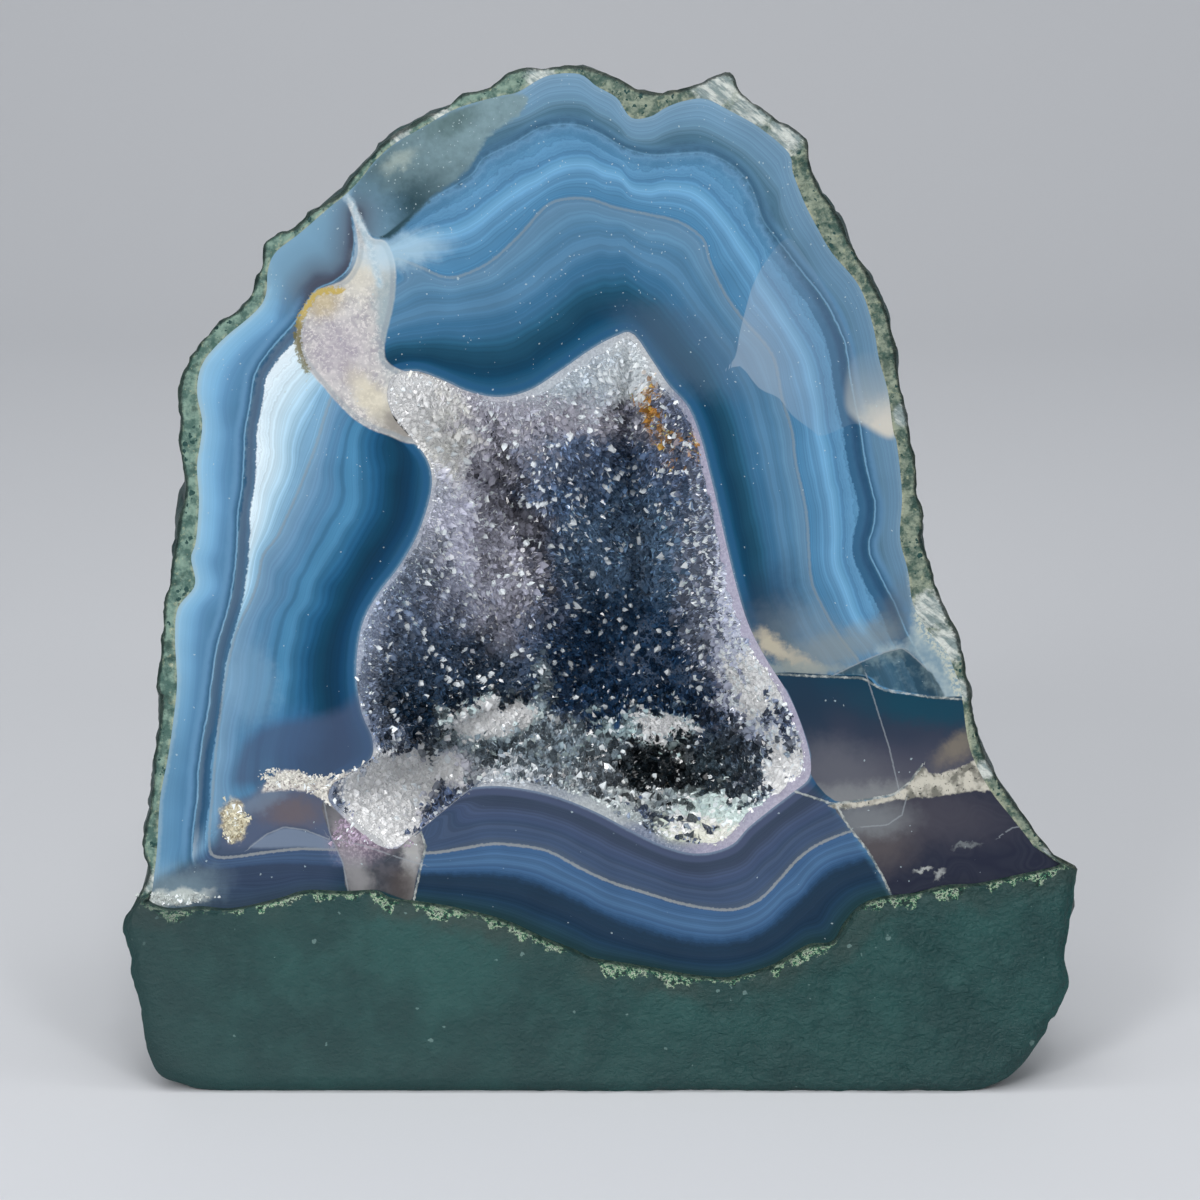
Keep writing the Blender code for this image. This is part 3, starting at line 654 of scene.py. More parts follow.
def agateMaterial():
    material, tree, shader, where = newMaterial("Polished banded agate")
    place = add(tree, "Attribute", output=1, attribute_name="facePlace")
    slow = noise(tree, where, 9.0, 1.0)
    crinkled = add(tree, "TexNoise", {"Vector": where, "Scale": 1 / (1.6 * mm), "Detail": 3.0, "Roughness": 0.6}, 1)
    crinkle = add(tree, "SeparateColor", {0: crinkled}, 0)
    ragged = noise(tree, where, 0.7, 2.0, 0.75)
    wobble = add(tree, "TexNoise", {"Vector": place, "Scale": 0.45, "Detail": 3.0, "Roughness": 0.65}, 1)
    loose = warped(tree, place, wobble, 4.0)
    loose = add(tree, "VectorMath", {0: loose, 1: (1.0, 1.0, 0.0)}, operation="MULTIPLY")
    chipped = warped(tree, where, crinkled, 1.2 * mm)
    true = readValue(tree, "band")
    edge = readValue(tree, "edgeDistance")
    dark = readValue(tree, "darkDistance")
    isLeft = step(tree, readValue(tree, "leftSide"), -2.0, 5.0)
    isLower = step(tree, readValue(tree, "lowerSide"), -1.5, 2.0)

    def patch(label, below, over, low, high, rough=0.0, strength=1.0):
        # lays a colour over a patch, its edge roughened by the crinkles
        value = shifted(tree, readValue(tree, label), crinkle, rough) if rough else readValue(tree, label)
        return blend(tree, times(tree, step(tree, value, low, high), strength), below, over)

    def spot(below, over, centre, radii, strength=1.0, turn=0.0, soft=0.6):
        return blend(tree, times(tree, oval(tree, loose, centre, radii, turn, soft), strength), below, over)

    def crack(label, wide, reach, wobble):
        # 1 on a line of that half width, which a noise makes uneven
        across = shifted(tree, readValue(tree, "across_" + label), ragged, wobble)
        on = step(tree, maths(tree, "ABSOLUTE", across), wide, wide * 0.4)
        return times(tree, on, step(tree, readValue(tree, "near_" + label), reach, reach * 0.7))

    # the bands waver a little everywhere, and are crinkled on the way to the dark line
    nearDark = times(tree, step(tree, true, 1.5, 1.8), step(tree, true, 2.3, 2.0))
    band = maths(tree, "ADD", true, times(tree, maths(tree, "SUBTRACT", crinkle, 0.5), 0.16,
                                          maths(tree, "ADD", nearDark, 0.08)))  # fmt: skip
    band = shifted(tree, band, slow, 0.07)
    # Painted reflection: the ramps' colours are the agate's own, with the blue of the surroundings that the polish
    # reflects mixed in
    top = ramp(tree, band, 3.2, [
        (0.0, "33607f"), (0.09, "1f5678"), (0.14, "0c4362"), (0.20, "0b3c58"), (0.27, "15455f"), (0.34, "1b4d68"),
        (0.40, "265a78"), (0.47, "346689"), (0.505, "3e7298"), (0.56, "386a8e"),
        (0.66, "5380a2"), (0.80, "4d7b9d"), (0.87, "5b87a7"), (0.97, "5f86a4"),
        (1.05, "487ea5"), (1.24, "568ab0"), (1.36, "5f93ba"), (1.45, "70a8cf"),
        (1.53, "629bc2"), (1.60, "5184ab"), (1.74, "5c90b6"), (1.81, "5488ad"),
        (1.88, "5c90b5"), (1.95, "6b9bbf"), (2.04, "446b86"), (2.12, "385c74"), (2.2, "486e86"), (2.3, "4c7188"), (2.42, "5f849c"), (2.6, "6a91ad"),
        (3.0, "7397b2"),
    ])  # fmt: skip
    left = ramp(tree, band, 3.2, [
        (0.0, "396a8c"), (0.09, "14486b"), (0.14, "09395a"), (0.22, "07344f"), (0.30, "0c425f"), (0.38, "185177"),
        (0.44, "27628a"), (0.50, "346f96"), (0.55, "4a86ae"), (0.60, "4884ab"), (0.65, "3f7499"),
        (0.70, "4a80a6"), (0.76, "5584a9"), (0.82, "5585a9"), (0.88, "658fb1"), (0.96, "739bba"),
        (1.05, "84b1cf"), (1.2, "96c2de"), (1.4, "b2d5e9"), (1.6, "cbe3f0"), (1.8, "d9ebf5"), (1.95, "e6f3f9"),
        (1.99, "6b99b8"), (2.05, "4a7a9c"), (2.2, "5080a4"), (2.45, "5f90b7"), (2.62, "74a9cf"),
        (2.8, "80b2d4"), (2.92, "8dbcda"), (3.0, "8fb6cc"),
    ])  # fmt: skip
    lower = ramp(tree, band, 3.2, [
        (0.0, "5a6580"), (0.08, "404a62"), (0.16, "38465b"), (0.30, "3a475d"), (0.40, "414f69"),
        (0.47, "455573"), (0.54, "405170"), (0.61, "384a64"), (0.68, "445570"), (0.76, "405370"),
        (0.86, "405370"), (0.97, "4b5b70"), (1.05, "40628a"), (1.15, "41638a"), (1.26, "486a90"),
        (1.36, "45678c"), (1.45, "4b6f95"), (1.52, "3f6086"), (1.60, "40648b"), (1.70, "2d4e72"),
        (1.78, "24405c"), (1.87, "1e364c"), (1.96, "1e364c"), (2.08, "22394f"), (2.3, "183149"),
        (2.5, "1c3a52"), (2.7, "203f50"), (2.9, "1b3a42"), (3.0, "203f45"),
    ])  # fmt: skip
    stone = blend(tree, isLeft, top, left)
    # the white feather narrows downwards and ends half-way; the outer bands grow duller there too
    height = add(tree, "SeparateXYZ", {0: place}, 1)
    width = add(tree, "MapRange", {0: height, 1: 67.0, 2: 141.0, 3: 1.2, 4: 18.0})
    keep = step(tree, maths(tree, "DIVIDE", shifted(tree, dark, crinkle, 1.2), width), 1.1, 0.5)
    feather = times(tree, isLeft, step(tree, true, 0.95, 1.15), step(tree, dark, -0.2, 0.1))
    stone = blend(tree, times(tree, feather, maths(tree, "SUBTRACT", 1.0, keep), 0.9), stone, "5e8fb4")
    dull = times(tree, isLeft, step(tree, height, 92.0, 60.0), step(tree, dark, -0.5, -1.5))
    stone = blend(tree, times(tree, dull, 0.75), stone, "4f7fa3")
    cornerLeft = times(tree, isLower, step(tree, add(tree, "SeparateXYZ", {0: place}), -48.0, -56.0))
    # painted reflection: the lower part's dull violet greys are partly the agate's own and partly a painted reflection
    # of a purple table
    stone = blend(tree, isLower, stone, lower)
    stone = blend(tree, times(tree, cornerLeft, 0.6), stone, "3e4c66")
    # hair-fine bands between the broad ones, and cloudiness
    fine = maths(tree, "SUBTRACT", 1.0, times(tree, isLeft, step(tree, true, 1.9, 2.1), 0.75))
    for perUnit, depth in ((11.0, 0.09), (34.0, 0.09)):
        tone = spread(tree, stripes(tree, band, perUnit), 1 - depth, 1 + depth)
        stone = blend(tree, fine, stone, tone, "MULTIPLY")
    stone = blend(tree, 1.0, stone, spread(tree, slow, 0.94, 1.06), "MULTIPLY")

    # double dark line: a deep band beside the feather, a thin light line, and a thin dark one that fades out
    right = step(tree, add(tree, "SeparateXYZ", {0: where}), 0.022, 0.05)
    wavering = shifted(tree, shifted(tree, dark, crinkle, 0.5), slow, 0.8)
    inner = step(tree, shifted(tree, wavering, ragged, 0.9), 2.6, 2.25)
    wavering = maths(tree, "ADD", wavering, right)
    darkColour = ramp(tree, maths(tree, "ADD", wavering, 2.6), 4.8, [
        (0.0, "74a5cb"), (1.3, "5f8db3"), (2.0, "416c8e"), (2.3, "335d7e"), (2.5, "6a98ba"), (2.62, "75a4c5"),
        (2.8, "37627f"), (3.2, "254f70"), (4.0, "20486a"), (4.8, "2f5d80"),
    ])  # fmt: skip
    onDark = times(tree, step(tree, wavering, -2.6, -1.2), inner)
    weight = maths(tree, "MAXIMUM", isLeft, maths(tree, "MAXIMUM", right, 0.3))
    notLower = maths(tree, "SUBTRACT", 1.0, isLower)
    stone = blend(tree, times(tree, onDark, weight, notLower, 0.92), stone, darkColour)
    outerRight = times(tree, right, notLower, step(tree, true, 2.15, 2.4), 0.4)
    stone = blend(tree, outerRight, stone, "4c708d")

    # a thin bright rim on the hollow's edge, the cream line, and the pale skin under the rind
    rimTone = blend(tree, isLower, "21567f", "4a5673")
    stone = blend(tree, times(tree, step(tree, edge, 2.1, 1.5), step(tree, edge, 0.5, 1.0), 0.8), stone, rimTone)
    stone = blend(tree, times(tree, step(tree, shifted(tree, edge, ragged, 0.5), 0.55, 0.2), 0.55), stone, "7d93a8")
    creamWide = maths(tree, "ADD", 0.22, times(tree, maths(tree, "SUBTRACT", ragged, 0.5), 0.55))
    cream = maths(tree, "ABSOLUTE", readValue(tree, "creamDistance"))
    cream = step(tree, maths(tree, "SUBTRACT", cream, creamWide), 0.16, -0.06)
    creamTone = blend(tree, isLower, "8c9597", "a5aaa8")
    stone = blend(tree, times(tree, cream, maths(tree, "ADD", 0.42, times(tree, isLower, 0.16))), stone, creamTone)
    skin = shifted(tree, readValue(tree, "rindDistance"), crinkle, 1.2)
    skinShare = times(tree, notLower, maths(tree, "ADD", 0.1, times(tree, isLeft, 0.25)))
    stone = blend(tree, times(tree, step(tree, skin, 1.1, 0.3), skinShare), stone, "a5bfca")

    # grey veil over the bands above the hollow's right shoulder
    stone = spot(stone, "566f86", (690, 350), (13, 7), 0.45, -0.5, 0.5)
    stone = spot(stone, "3a5670", (655, 325), (9, 3.5), 0.35, -0.3, 0.6)
    # the rounded knee of the left bands, and the dusk along the hollow's lower right edge
    stone = spot(stone, "7fa6c2", (254, 686), (4.6, 8.5), 0.4, 0.1, 0.4)
    stone = spot(stone, "3f6f9c", (285, 735), (7.0, 5.0), 0.55, 0.1, 0.6)
    stone = spot(stone, "25405a", (768, 618), (5.5, 9.5), 0.75, -0.35, 0.7)
    stone = spot(stone, "5c6873", (890, 622), (3.0, 8.0), 0.5, -0.4, 0.7)
    # dark cloud under the rind, upper left, and painted shade in the chamber above the pocket
    veil = noise(tree, warped(tree, where, crinkled, 2.0 * mm), 3.0, 2.0, 0.7)
    grainy = ragged
    cloudTone = blend(tree, oval(tree, loose, (497, 106), (26, 12), 0.5, 0.8), "2c4853", "7a959d")
    cloudTone = spot(cloudTone, "27444f", (396, 217), (9, 3.6), 0.9, 0.75, 0.7)
    cloudTone = spot(cloudTone, "a3b3ae", (400, 160), (3.4, 1.5), 0.7, 0.6, 0.7)
    cloudTone = spot(cloudTone, "566f71", (452, 122), (5, 2.4), 0.8, 0.4, 0.7)
    cloudTone = blend(tree, 1.0, cloudTone, spread(tree, crinkle, 0.88, 1.12), "MULTIPLY")
    cloud = step(tree, shifted(tree, readValue(tree, "cloud"), crinkle, 1.8), -0.6, 0.6)
    stone = blend(tree, cloud, stone, cloudTone)
    # painted shade in the chamber: darkest along its line and fading out over 14 mm
    chamber = times(tree, oval(tree, loose, (325, 245), (15, 11), 0.5, 0.35), step(tree, true, 1.98, 2.03))
    chamberShade = ramp(tree, readValue(tree, "near_chamber"), 14.0, [
        (0.0, "45444f"), (0.8, "474c5b"), (2.2, "5f7385"), (6.0, "7196ae"), (14.0, "7aa6c4")])  # fmt: skip
    stone = blend(tree, times(tree, chamber, 0.9), stone, chamberShade)

    # painted reflection and flakes on the right
    # painted reflection: a faint pale sheen over the bands, stronger along its left side
    stone = patch("lens", stone, "8fa2b3", -0.15, 0.15, 0.0, 0.13)
    reflectedSheenEdge = times(tree, oval(tree, place, (744, 352), (10, 20), 0.3, 0.8), step(tree, readValue(tree, "lens"), -0.15, 0.1))
    stone = blend(tree, times(tree, reflectedSheenEdge, 0.35), stone, "a9bacb")
    amber = times(tree, step(tree, readValue(tree, "amber"), -1.2, 0.6), step(tree, height, 150.0, 131.0))
    amberTone = blend(tree, oval(tree, loose, (886, 424), (5.0, 4.4), 0.6, 0.8), "a3aeb2", "d6d1c4")
    stone = blend(tree, times(tree, amber, 0.85), stone, amberTone)
    stone = spot(stone, "8a9494", (838, 648), (12, 3.4), 0.6, 0.3, 0.7)
    stone = spot(stone, "7d8a92", (800, 636), (8, 6.0), 0.45, -0.3, 0.7)
    stone = spot(stone, "c9c0a8", (772, 645), (4.0, 1.7), 0.75, -0.75, 0.6)
    stone = spot(stone, "b1ad9e", (797, 660), (5.4, 1.4), 0.75, -0.45, 0.6)
    stone = spot(stone, "8f9a98", (800, 669), (11, 1.1), 0.7, 0.0, 0.6)
    featherTone = blend(tree, step(tree, veil, 0.3, 0.7), "7f9aa8", "a9babd")
    featherTone = blend(tree, times(tree, step(tree, skin, 2.6, 0.8), step(tree, grainy, 0.4, 0.6)), featherTone, "ccd0bf")
    stone = patch("feather", stone, featherTone, -1.6, 0.8, 2.4, 0.85)
    arcTone = blend(tree, step(tree, veil, 0.45, 0.75), "26414e", "64797e")
    stone = patch("arc", stone, arcTone, -0.2, 0.3, 0.6, 0.8)
    # dark block: teal above, smoky below, with a beige glow by its right edge
    blockTone = ramp(tree, maths(tree, "SUBTRACT", 83.0, shifted(tree, height, slow, 6.0)), 26.0, [
        (0.0, "103a50"), (3.5, "173a50"), (8.0, "26384c"), (12.0, "313b4e"), (17.0, "434757"), (26.0, "5b5c66"),
    ])  # fmt: skip
    blockTone = spot(blockTone, "0c4357", (925, 706), (12.0, 3.4), 0.8, -0.12, 0.7)
    blockTone = spot(blockTone, "1d3348", (803, 705), (4.5, 8.0), 0.7, 0.2, 0.7)
    blockTone = spot(blockTone, "8d8473", (958, 748), (4.6, 2.2), 0.6, 0.6, 0.8)
    blockTone = spot(blockTone, "8c9193", (850, 795), (12, 2.2), 0.8, 0.08, 0.7)
    blockTone = spot(blockTone, "676a73", (840, 770), (8, 5), 0.6, -0.2, 0.8)
    stone = patch("block", stone, blockTone, -0.12, 0.12)
    # smoky block: brown to the left, pale haze above, navy swirls to the right
    swirl = stripes(tree, shifted(tree, height, slow, 30.0), 0.5, 1.0)
    cornerTone = blend(tree, step(tree, swirl, 0.3, 0.7), "252a3c", "2d3242")
    cornerTone = spot(cornerTone, "5c5759", (880, 845), (8, 5), 0.75, 0.5, 0.8)
    cornerTone = spot(cornerTone, "4c4b55", (935, 815), (13, 5), 0.7, -0.1, 0.8)
    cornerTone = spot(cornerTone, "80868b", (866, 820), (8, 3.4), 0.75, 0.05, 0.7)
    cornerTone = spot(cornerTone, "b4bab8", (925, 869), (1.4, 0.4), 0.8, 0.2, 0.6)
    cornerTone = spot(cornerTone, "b0b6b6", (940, 874), (1.2, 0.6), 0.7, 0.7, 0.6)
    cornerTone = spot(cornerTone, "8a9294", (966, 846), (2.4, 0.4), 0.5, 0.1, 0.6)
    stone = patch("corner", stone, cornerTone, -0.15, 0.15)
    ridgeTone = blend(tree, step(tree, veil, 0.36, 0.6), "77776f", "c9c7bb")
    ridgeTone = blend(tree, step(tree, ragged, 0.6, 0.68), ridgeTone, "4e4f4c")
    stone = patch("ridge", stone, ridgeTone, -0.2, 0.3, 1.6)

    # lower left: smoky wedge, clear arm, pale lens, grey quartz vein
    stone = patch("smoke", stone, "475673", -1.2, 2.2, 0.6, 0.7)
    armTone = spot("53607a", "6c6367", (292, 812), (5.5, 3.0), 0.9, 0.0, 0.8)
    armTone = spot(armTone, "7b8a9c", (262, 800), (6.0, 2.0), 0.6, 0.5, 0.7)
    stone = patch("arm", stone, armTone, -0.8, 1.2, 0.6, 0.9)
    stone = patch("milk", stone, "7e8ea4", -0.2, 0.6, 0.3, 0.75)
    veinTone = blend(tree, step(tree, veil, 0.35, 0.65), "42454b", "57565c")
    veinTone = spot(veinTone, "9a9a9c", (352, 862), (2.4, 10.0), 0.8, 0.35, 0.7)
    veinTone = spot(veinTone, "b6b7b6", (412, 852), (1.8, 9.0), 0.9, -0.05, 0.6)
    veinTone = spot(veinTone, "514a48", (404, 886), (3.0, 4.0), 0.8, 0.0, 0.7)
    stone = patch("vein", stone, veinTone, -0.15, 0.25, 0.0, 0.92)
    sugarTone = blend(tree, step(tree, ragged, 0.35, 0.6), "96908f", "e4e2dc")
    stone = patch("sugar", stone, sugarTone, -0.4, 0.4, 1.2)
    stone = spot(stone, blend(tree, step(tree, ragged, 0.4, 0.65), "85778a", "c4b6c4"), (376, 826), (8.0, 4.6), 0.9, 0.6)
    stone = spot(stone, blend(tree, step(tree, ragged, 0.35, 0.6), "8f8468", "ddd6bd"), (234, 821), (2.4, 4.2), 1.0,
                 0.1, 0.3)  # fmt: skip
    stone = spot(stone, "7f97a3", (176, 890), (8.0, 3.6), 0.7, 0.2, 0.8)
    stone = spot(stone, "c3ccc9", (172, 898), (7.0, 1.6), 0.9, 0.1, 0.5)

    # pocket of cloudy quartz, its glowing neck, seam and iron stain
    pocketTone = blend(tree, step(tree, veil, 0.34, 0.66), "a6a5aa", "d0d0cd")
    pocketTone = blend(tree, times(tree, step(tree, ragged, 0.5, 0.62), 0.7), pocketTone, "eceae6")
    pocketTone = spot(pocketTone, "a79db0", (340, 352), (6, 7), 0.4, 0.3, 0.8)
    pocketTone = spot(pocketTone, "8fa6b0", (388, 300), (2.6, 13), 0.8, 0.05, 0.6)
    pocketTone = spot(pocketTone, "d5d3c6", (358, 272), (4.6, 4.4), 0.8, -0.3, 0.8)
    pocketTone = spot(pocketTone, "c5b58a", (322, 300), (3.4, 3.0), 0.7, 0.0, 0.8)
    pocketTone = spot(pocketTone, "cbd8de", (384, 250), (3.6, 4.6), 0.8, 0.0, 0.7)
    pocketTone = spot(pocketTone, "dad4bd", (372, 398), (6.4, 2.6), 0.7, -0.9, 0.6)
    pocketTone = spot(pocketTone, "8f8c86", (398, 426), (4.2, 2.4), 0.9, -0.6, 0.6)
    rim = step(tree, maths(tree, "ABSOLUTE", maths(tree, "SUBTRACT", readValue(tree, "pocket"), 0.7)), 0.7, 0.2)
    pocketTone = blend(tree, times(tree, rim, 0.5), pocketTone, "8d9aa3")
    stone = patch("pocket", stone, pocketTone, -0.2, 0.3, 0.3)
    glow = times(tree, oval(tree, loose, (404, 250), (7.5, 3.2), 0.15, 0.7), maths(tree, "SUBTRACT", 1.0, cloud))
    stone = blend(tree, times(tree, glow, 0.7), stone, "b0d0e2")
    snow = times(tree, step(tree, shifted(tree, readValue(tree, "near_snow"), crinkle, 1.0), 1.2, 0.1), 0.8)
    stone = blend(tree, snow, stone, blend(tree, step(tree, ragged, 0.3, 0.8), "a3c1d2", "cfdfe6"))
    rust = step(tree, shifted(tree, readValue(tree, "near_rust"), ragged, 2.4), 0.9, 0.3)
    rustTone = blend(tree, oval(tree, loose, (300, 352), (4, 6), 0.0, 0.5), "c3aa48", "6e6733")
    stone = blend(tree, times(tree, rust, 0.8), stone, rustTone)

    # fractures: broken white edges and hairlines
    broken = blend(tree, step(tree, crinkle, 0.4, 0.6), "6f7a7b", "c3c9c5")
    stone = blend(tree, times(tree, crack("white", 0.3, 1.6, 0.6), 0.75), stone, broken)
    stone = blend(tree, times(tree, crack("fine", 0.2, 1.4, 0.3), 0.5), stone, "9aa3aa")
    # pits and dust in the polish, thickest towards the top and on the cloud
    high = times(tree, step(tree, slow, 0.42, 0.62), step(tree, height, 90.0, 180.0))
    dusty = maths(tree, "MAXIMUM", times(tree, high, 0.8), times(tree, cloud, 0.7))
    dust = maths(tree, "MAXIMUM", specks(tree, chipped, 2.2, 0.5, 0.07), specks(tree, chipped, 0.9, dusty, 0.13))
    stone = blend(tree, times(tree, dust, 0.6), stone, "b9ccd3")
    stone = blend(tree, 1.0, stone, "f4f2f1", "MULTIPLY")
    tree.links.new(stone, shader.inputs["Base Color"])
    tree.links.new(spread(tree, crinkle, 0.08, 0.14), shader.inputs["Roughness"])
    shader.inputs["IOR"].default_value = 1.54
    return material


agatePoints, agateFaces = buildAgate()
agatePiece = makeMesh("agate_block", agatePoints, agateFaces, agateAttributes(agatePoints))
mountPiece(agatePiece, "geode_stone", agateMaterial())

# The basalt: a thin rind round the face, the painted foot, and the rough painted back

basalt = {"hiddenRings": 7, "frontRings": 34, "sideRings": 78, "backDepth": 83.0, "crowding": 1.25}


def lumps(points):
    # three sizes of waves crossing each other, as on the solid
    x, y, z = points.T / mm
    broad = np.sin(x / 15 + 1.1) * np.sin(y / 17 + 0.6) * np.cos(z / 19 + 0.3)
    middling = np.sin((x + y) / 9.5 + 2.2) * np.sin((z - y) / 11 + 0.7)
    small = np.sin((x - z) / 6.3 + 0.5) * np.sin((y + z) / 5.7 + 1.9)
    return back["broad"] * broad + back["middling"] * middling + back["small"] * small


def evened(edge):
    # the outline averaged along itself, then dropped where it is near the floor
    spacing = np.hypot(*(edge - np.roll(edge, 1, 0)).T).mean()
    offsets = np.arange(-60, 61)
    weights = np.exp(-0.5 * (offsets * spacing / back["smoothing"]) ** 2)
    rear = np.tensordot(weights / weights.sum(), np.stack([np.roll(edge, k, 0) for k in offsets]), 1)
    rear[:, 1] -= back["drop"] * smoothStep((24 - rear[:, 1]) / 24)
    return rear


def frontRing(inner, edge, t, isFoot):
    # one line round the front, t of the way from the agate to the outline: how far it stands off the face
    flat = inner + (edge - inner) * t
    at = onFace(*flat.T) / mm
    fromLine = np.hypot(*(flat - inner).T)
    toRim = np.hypot(*(edge - flat).T)
    slanting = np.stack([0.5 * (0.8 * at[:, 0] - 0.6 * at[:, 2]), at[:, 1], 0.6 * at[:, 0] + 0.8 * at[:, 2]], -1)
    dented = 0.25 + 0.75 * smoothStep(at[:, 0], -45.0, 20.0)
    ripples = dented * (0.28 * roughNoise(slanting, 2.2, 5, 3) + 0.34 * roughNoise(at, 5.5, 9, 3))
    crumbs = np.clip(roughNoise(at, 1.7, 21, 2), -0.2, 1) * smoothStep(fromLine, 2.6, 0.4)
    standing = footFront(flat[:, 1]) * smoothStep(fromLine, -0.3, 1.2) + ripples + 1.0 * crumbs
    standing -= 1.6 * smoothStep(toRim, 3.2, 0.0) ** 2
    rind = 0.14 * roughNoise(at, 0.9, 31, 2) - 0.8 * smoothStep(toRim, 1.3, 0.0) ** 2
    rind = np.minimum(rind * smoothStep(fromLine, 0.0, 0.5), 0.05)
    out = isFoot * standing + (1 - isFoot) * rind
    s = np.maximum(flat[:, 1], -out * np.tan(face["tilt"]))
    return onFace(flat[:, 0], s, out), out


def backRing(edge, rear, depth, scale, startOut):
    # one line round the body behind the face, at that depth
    share = smoothStep(depth / 26)
    x, s = (back["middle"] + scale * ((1 - share) * edge + share * rear - back["middle"])).T
    at = onFace(x, s, startOut - depth)
    outwards = at - onFace(*back["middle"], -20.0)
    outwards /= np.linalg.norm(outwards, axis=1)[:, None]
    rough = lumps(at) * smoothStep(depth / 14)
    rough = rough + 0.9 * roughNoise(at / mm, 6.0, 51, 4) * smoothStep(depth / 3 + 0.15)
    at = at + outwards * (rough * mm)[:, None]
    at[:, 2] = np.maximum(at[:, 2], 0.0)
    return at


def buildBasalt():
    # from the hidden pole inside, out to the agate's edge, over the rind and foot, round the back to its pole
    at = onFace(*(face["middle"] + stoneReach[:, None] * heading).T) / mm
    chipped = stoneReach + 0.5 * roughNoise(at, 2.6, 41, 2) * smoothStep(at[:, 2], 4.0, 12.0)
    edge = face["middle"] + chipped[:, None] * heading
    inner = face["middle"] + wallReach[:, None] * heading
    lineHeight = np.interp(inner[:, 0], footEdge[:, 0], footEdge[:, 1])
    isFoot = 1 - smoothStep(inner[:, 1] - lineHeight, 1.0, 3.5)
    rings, painted = [], []
    for k in range(1, basalt["hiddenRings"]):
        turn = (1 - k / basalt["hiddenRings"]) * np.pi / 2
        x, s = (face["middle"] + wallReach[:, None] * np.cos(turn) ** 0.5 * heading).T
        rings.append(onFace(x, s, -basalt["backDepth"] * np.sin(turn)))
        painted.append(0 * isFoot)
    rings.append(onFace(*inner.T))
    painted.append(isFoot)
    for t in np.linspace(0, 1, basalt["frontRings"]):
        at, out = frontRing(inner, edge, t, isFoot)
        rings.append(at)
        painted.append(isFoot)
    rear = evened(edge)
    for k in range(1, basalt["sideRings"]):
        turn = (k / basalt["sideRings"]) ** basalt["crowding"] * np.pi / 2
        depth = back["thickness"] * np.sin(turn)
        startOut = out * (1 - smoothStep(depth / 4))
        rings.append(backRing(edge, rear, depth, np.cos(turn) ** 0.9, startOut))
        painted.append(0 * isFoot + 2)
    pole = onFace(*back["middle"], -back["thickness"])
    pole = pole + np.array([0, 1, 0]) * lumps(pole[None])[0] * mm
    points = ball(onFace(*face["middle"], -basalt["backDepth"]), rings, pole)
    points[:, 2] = np.maximum(points[:, 2], 0.0)
    return points, gridLoops(len(rings), columns), np.concatenate([[0.0], *painted, [2.0]])


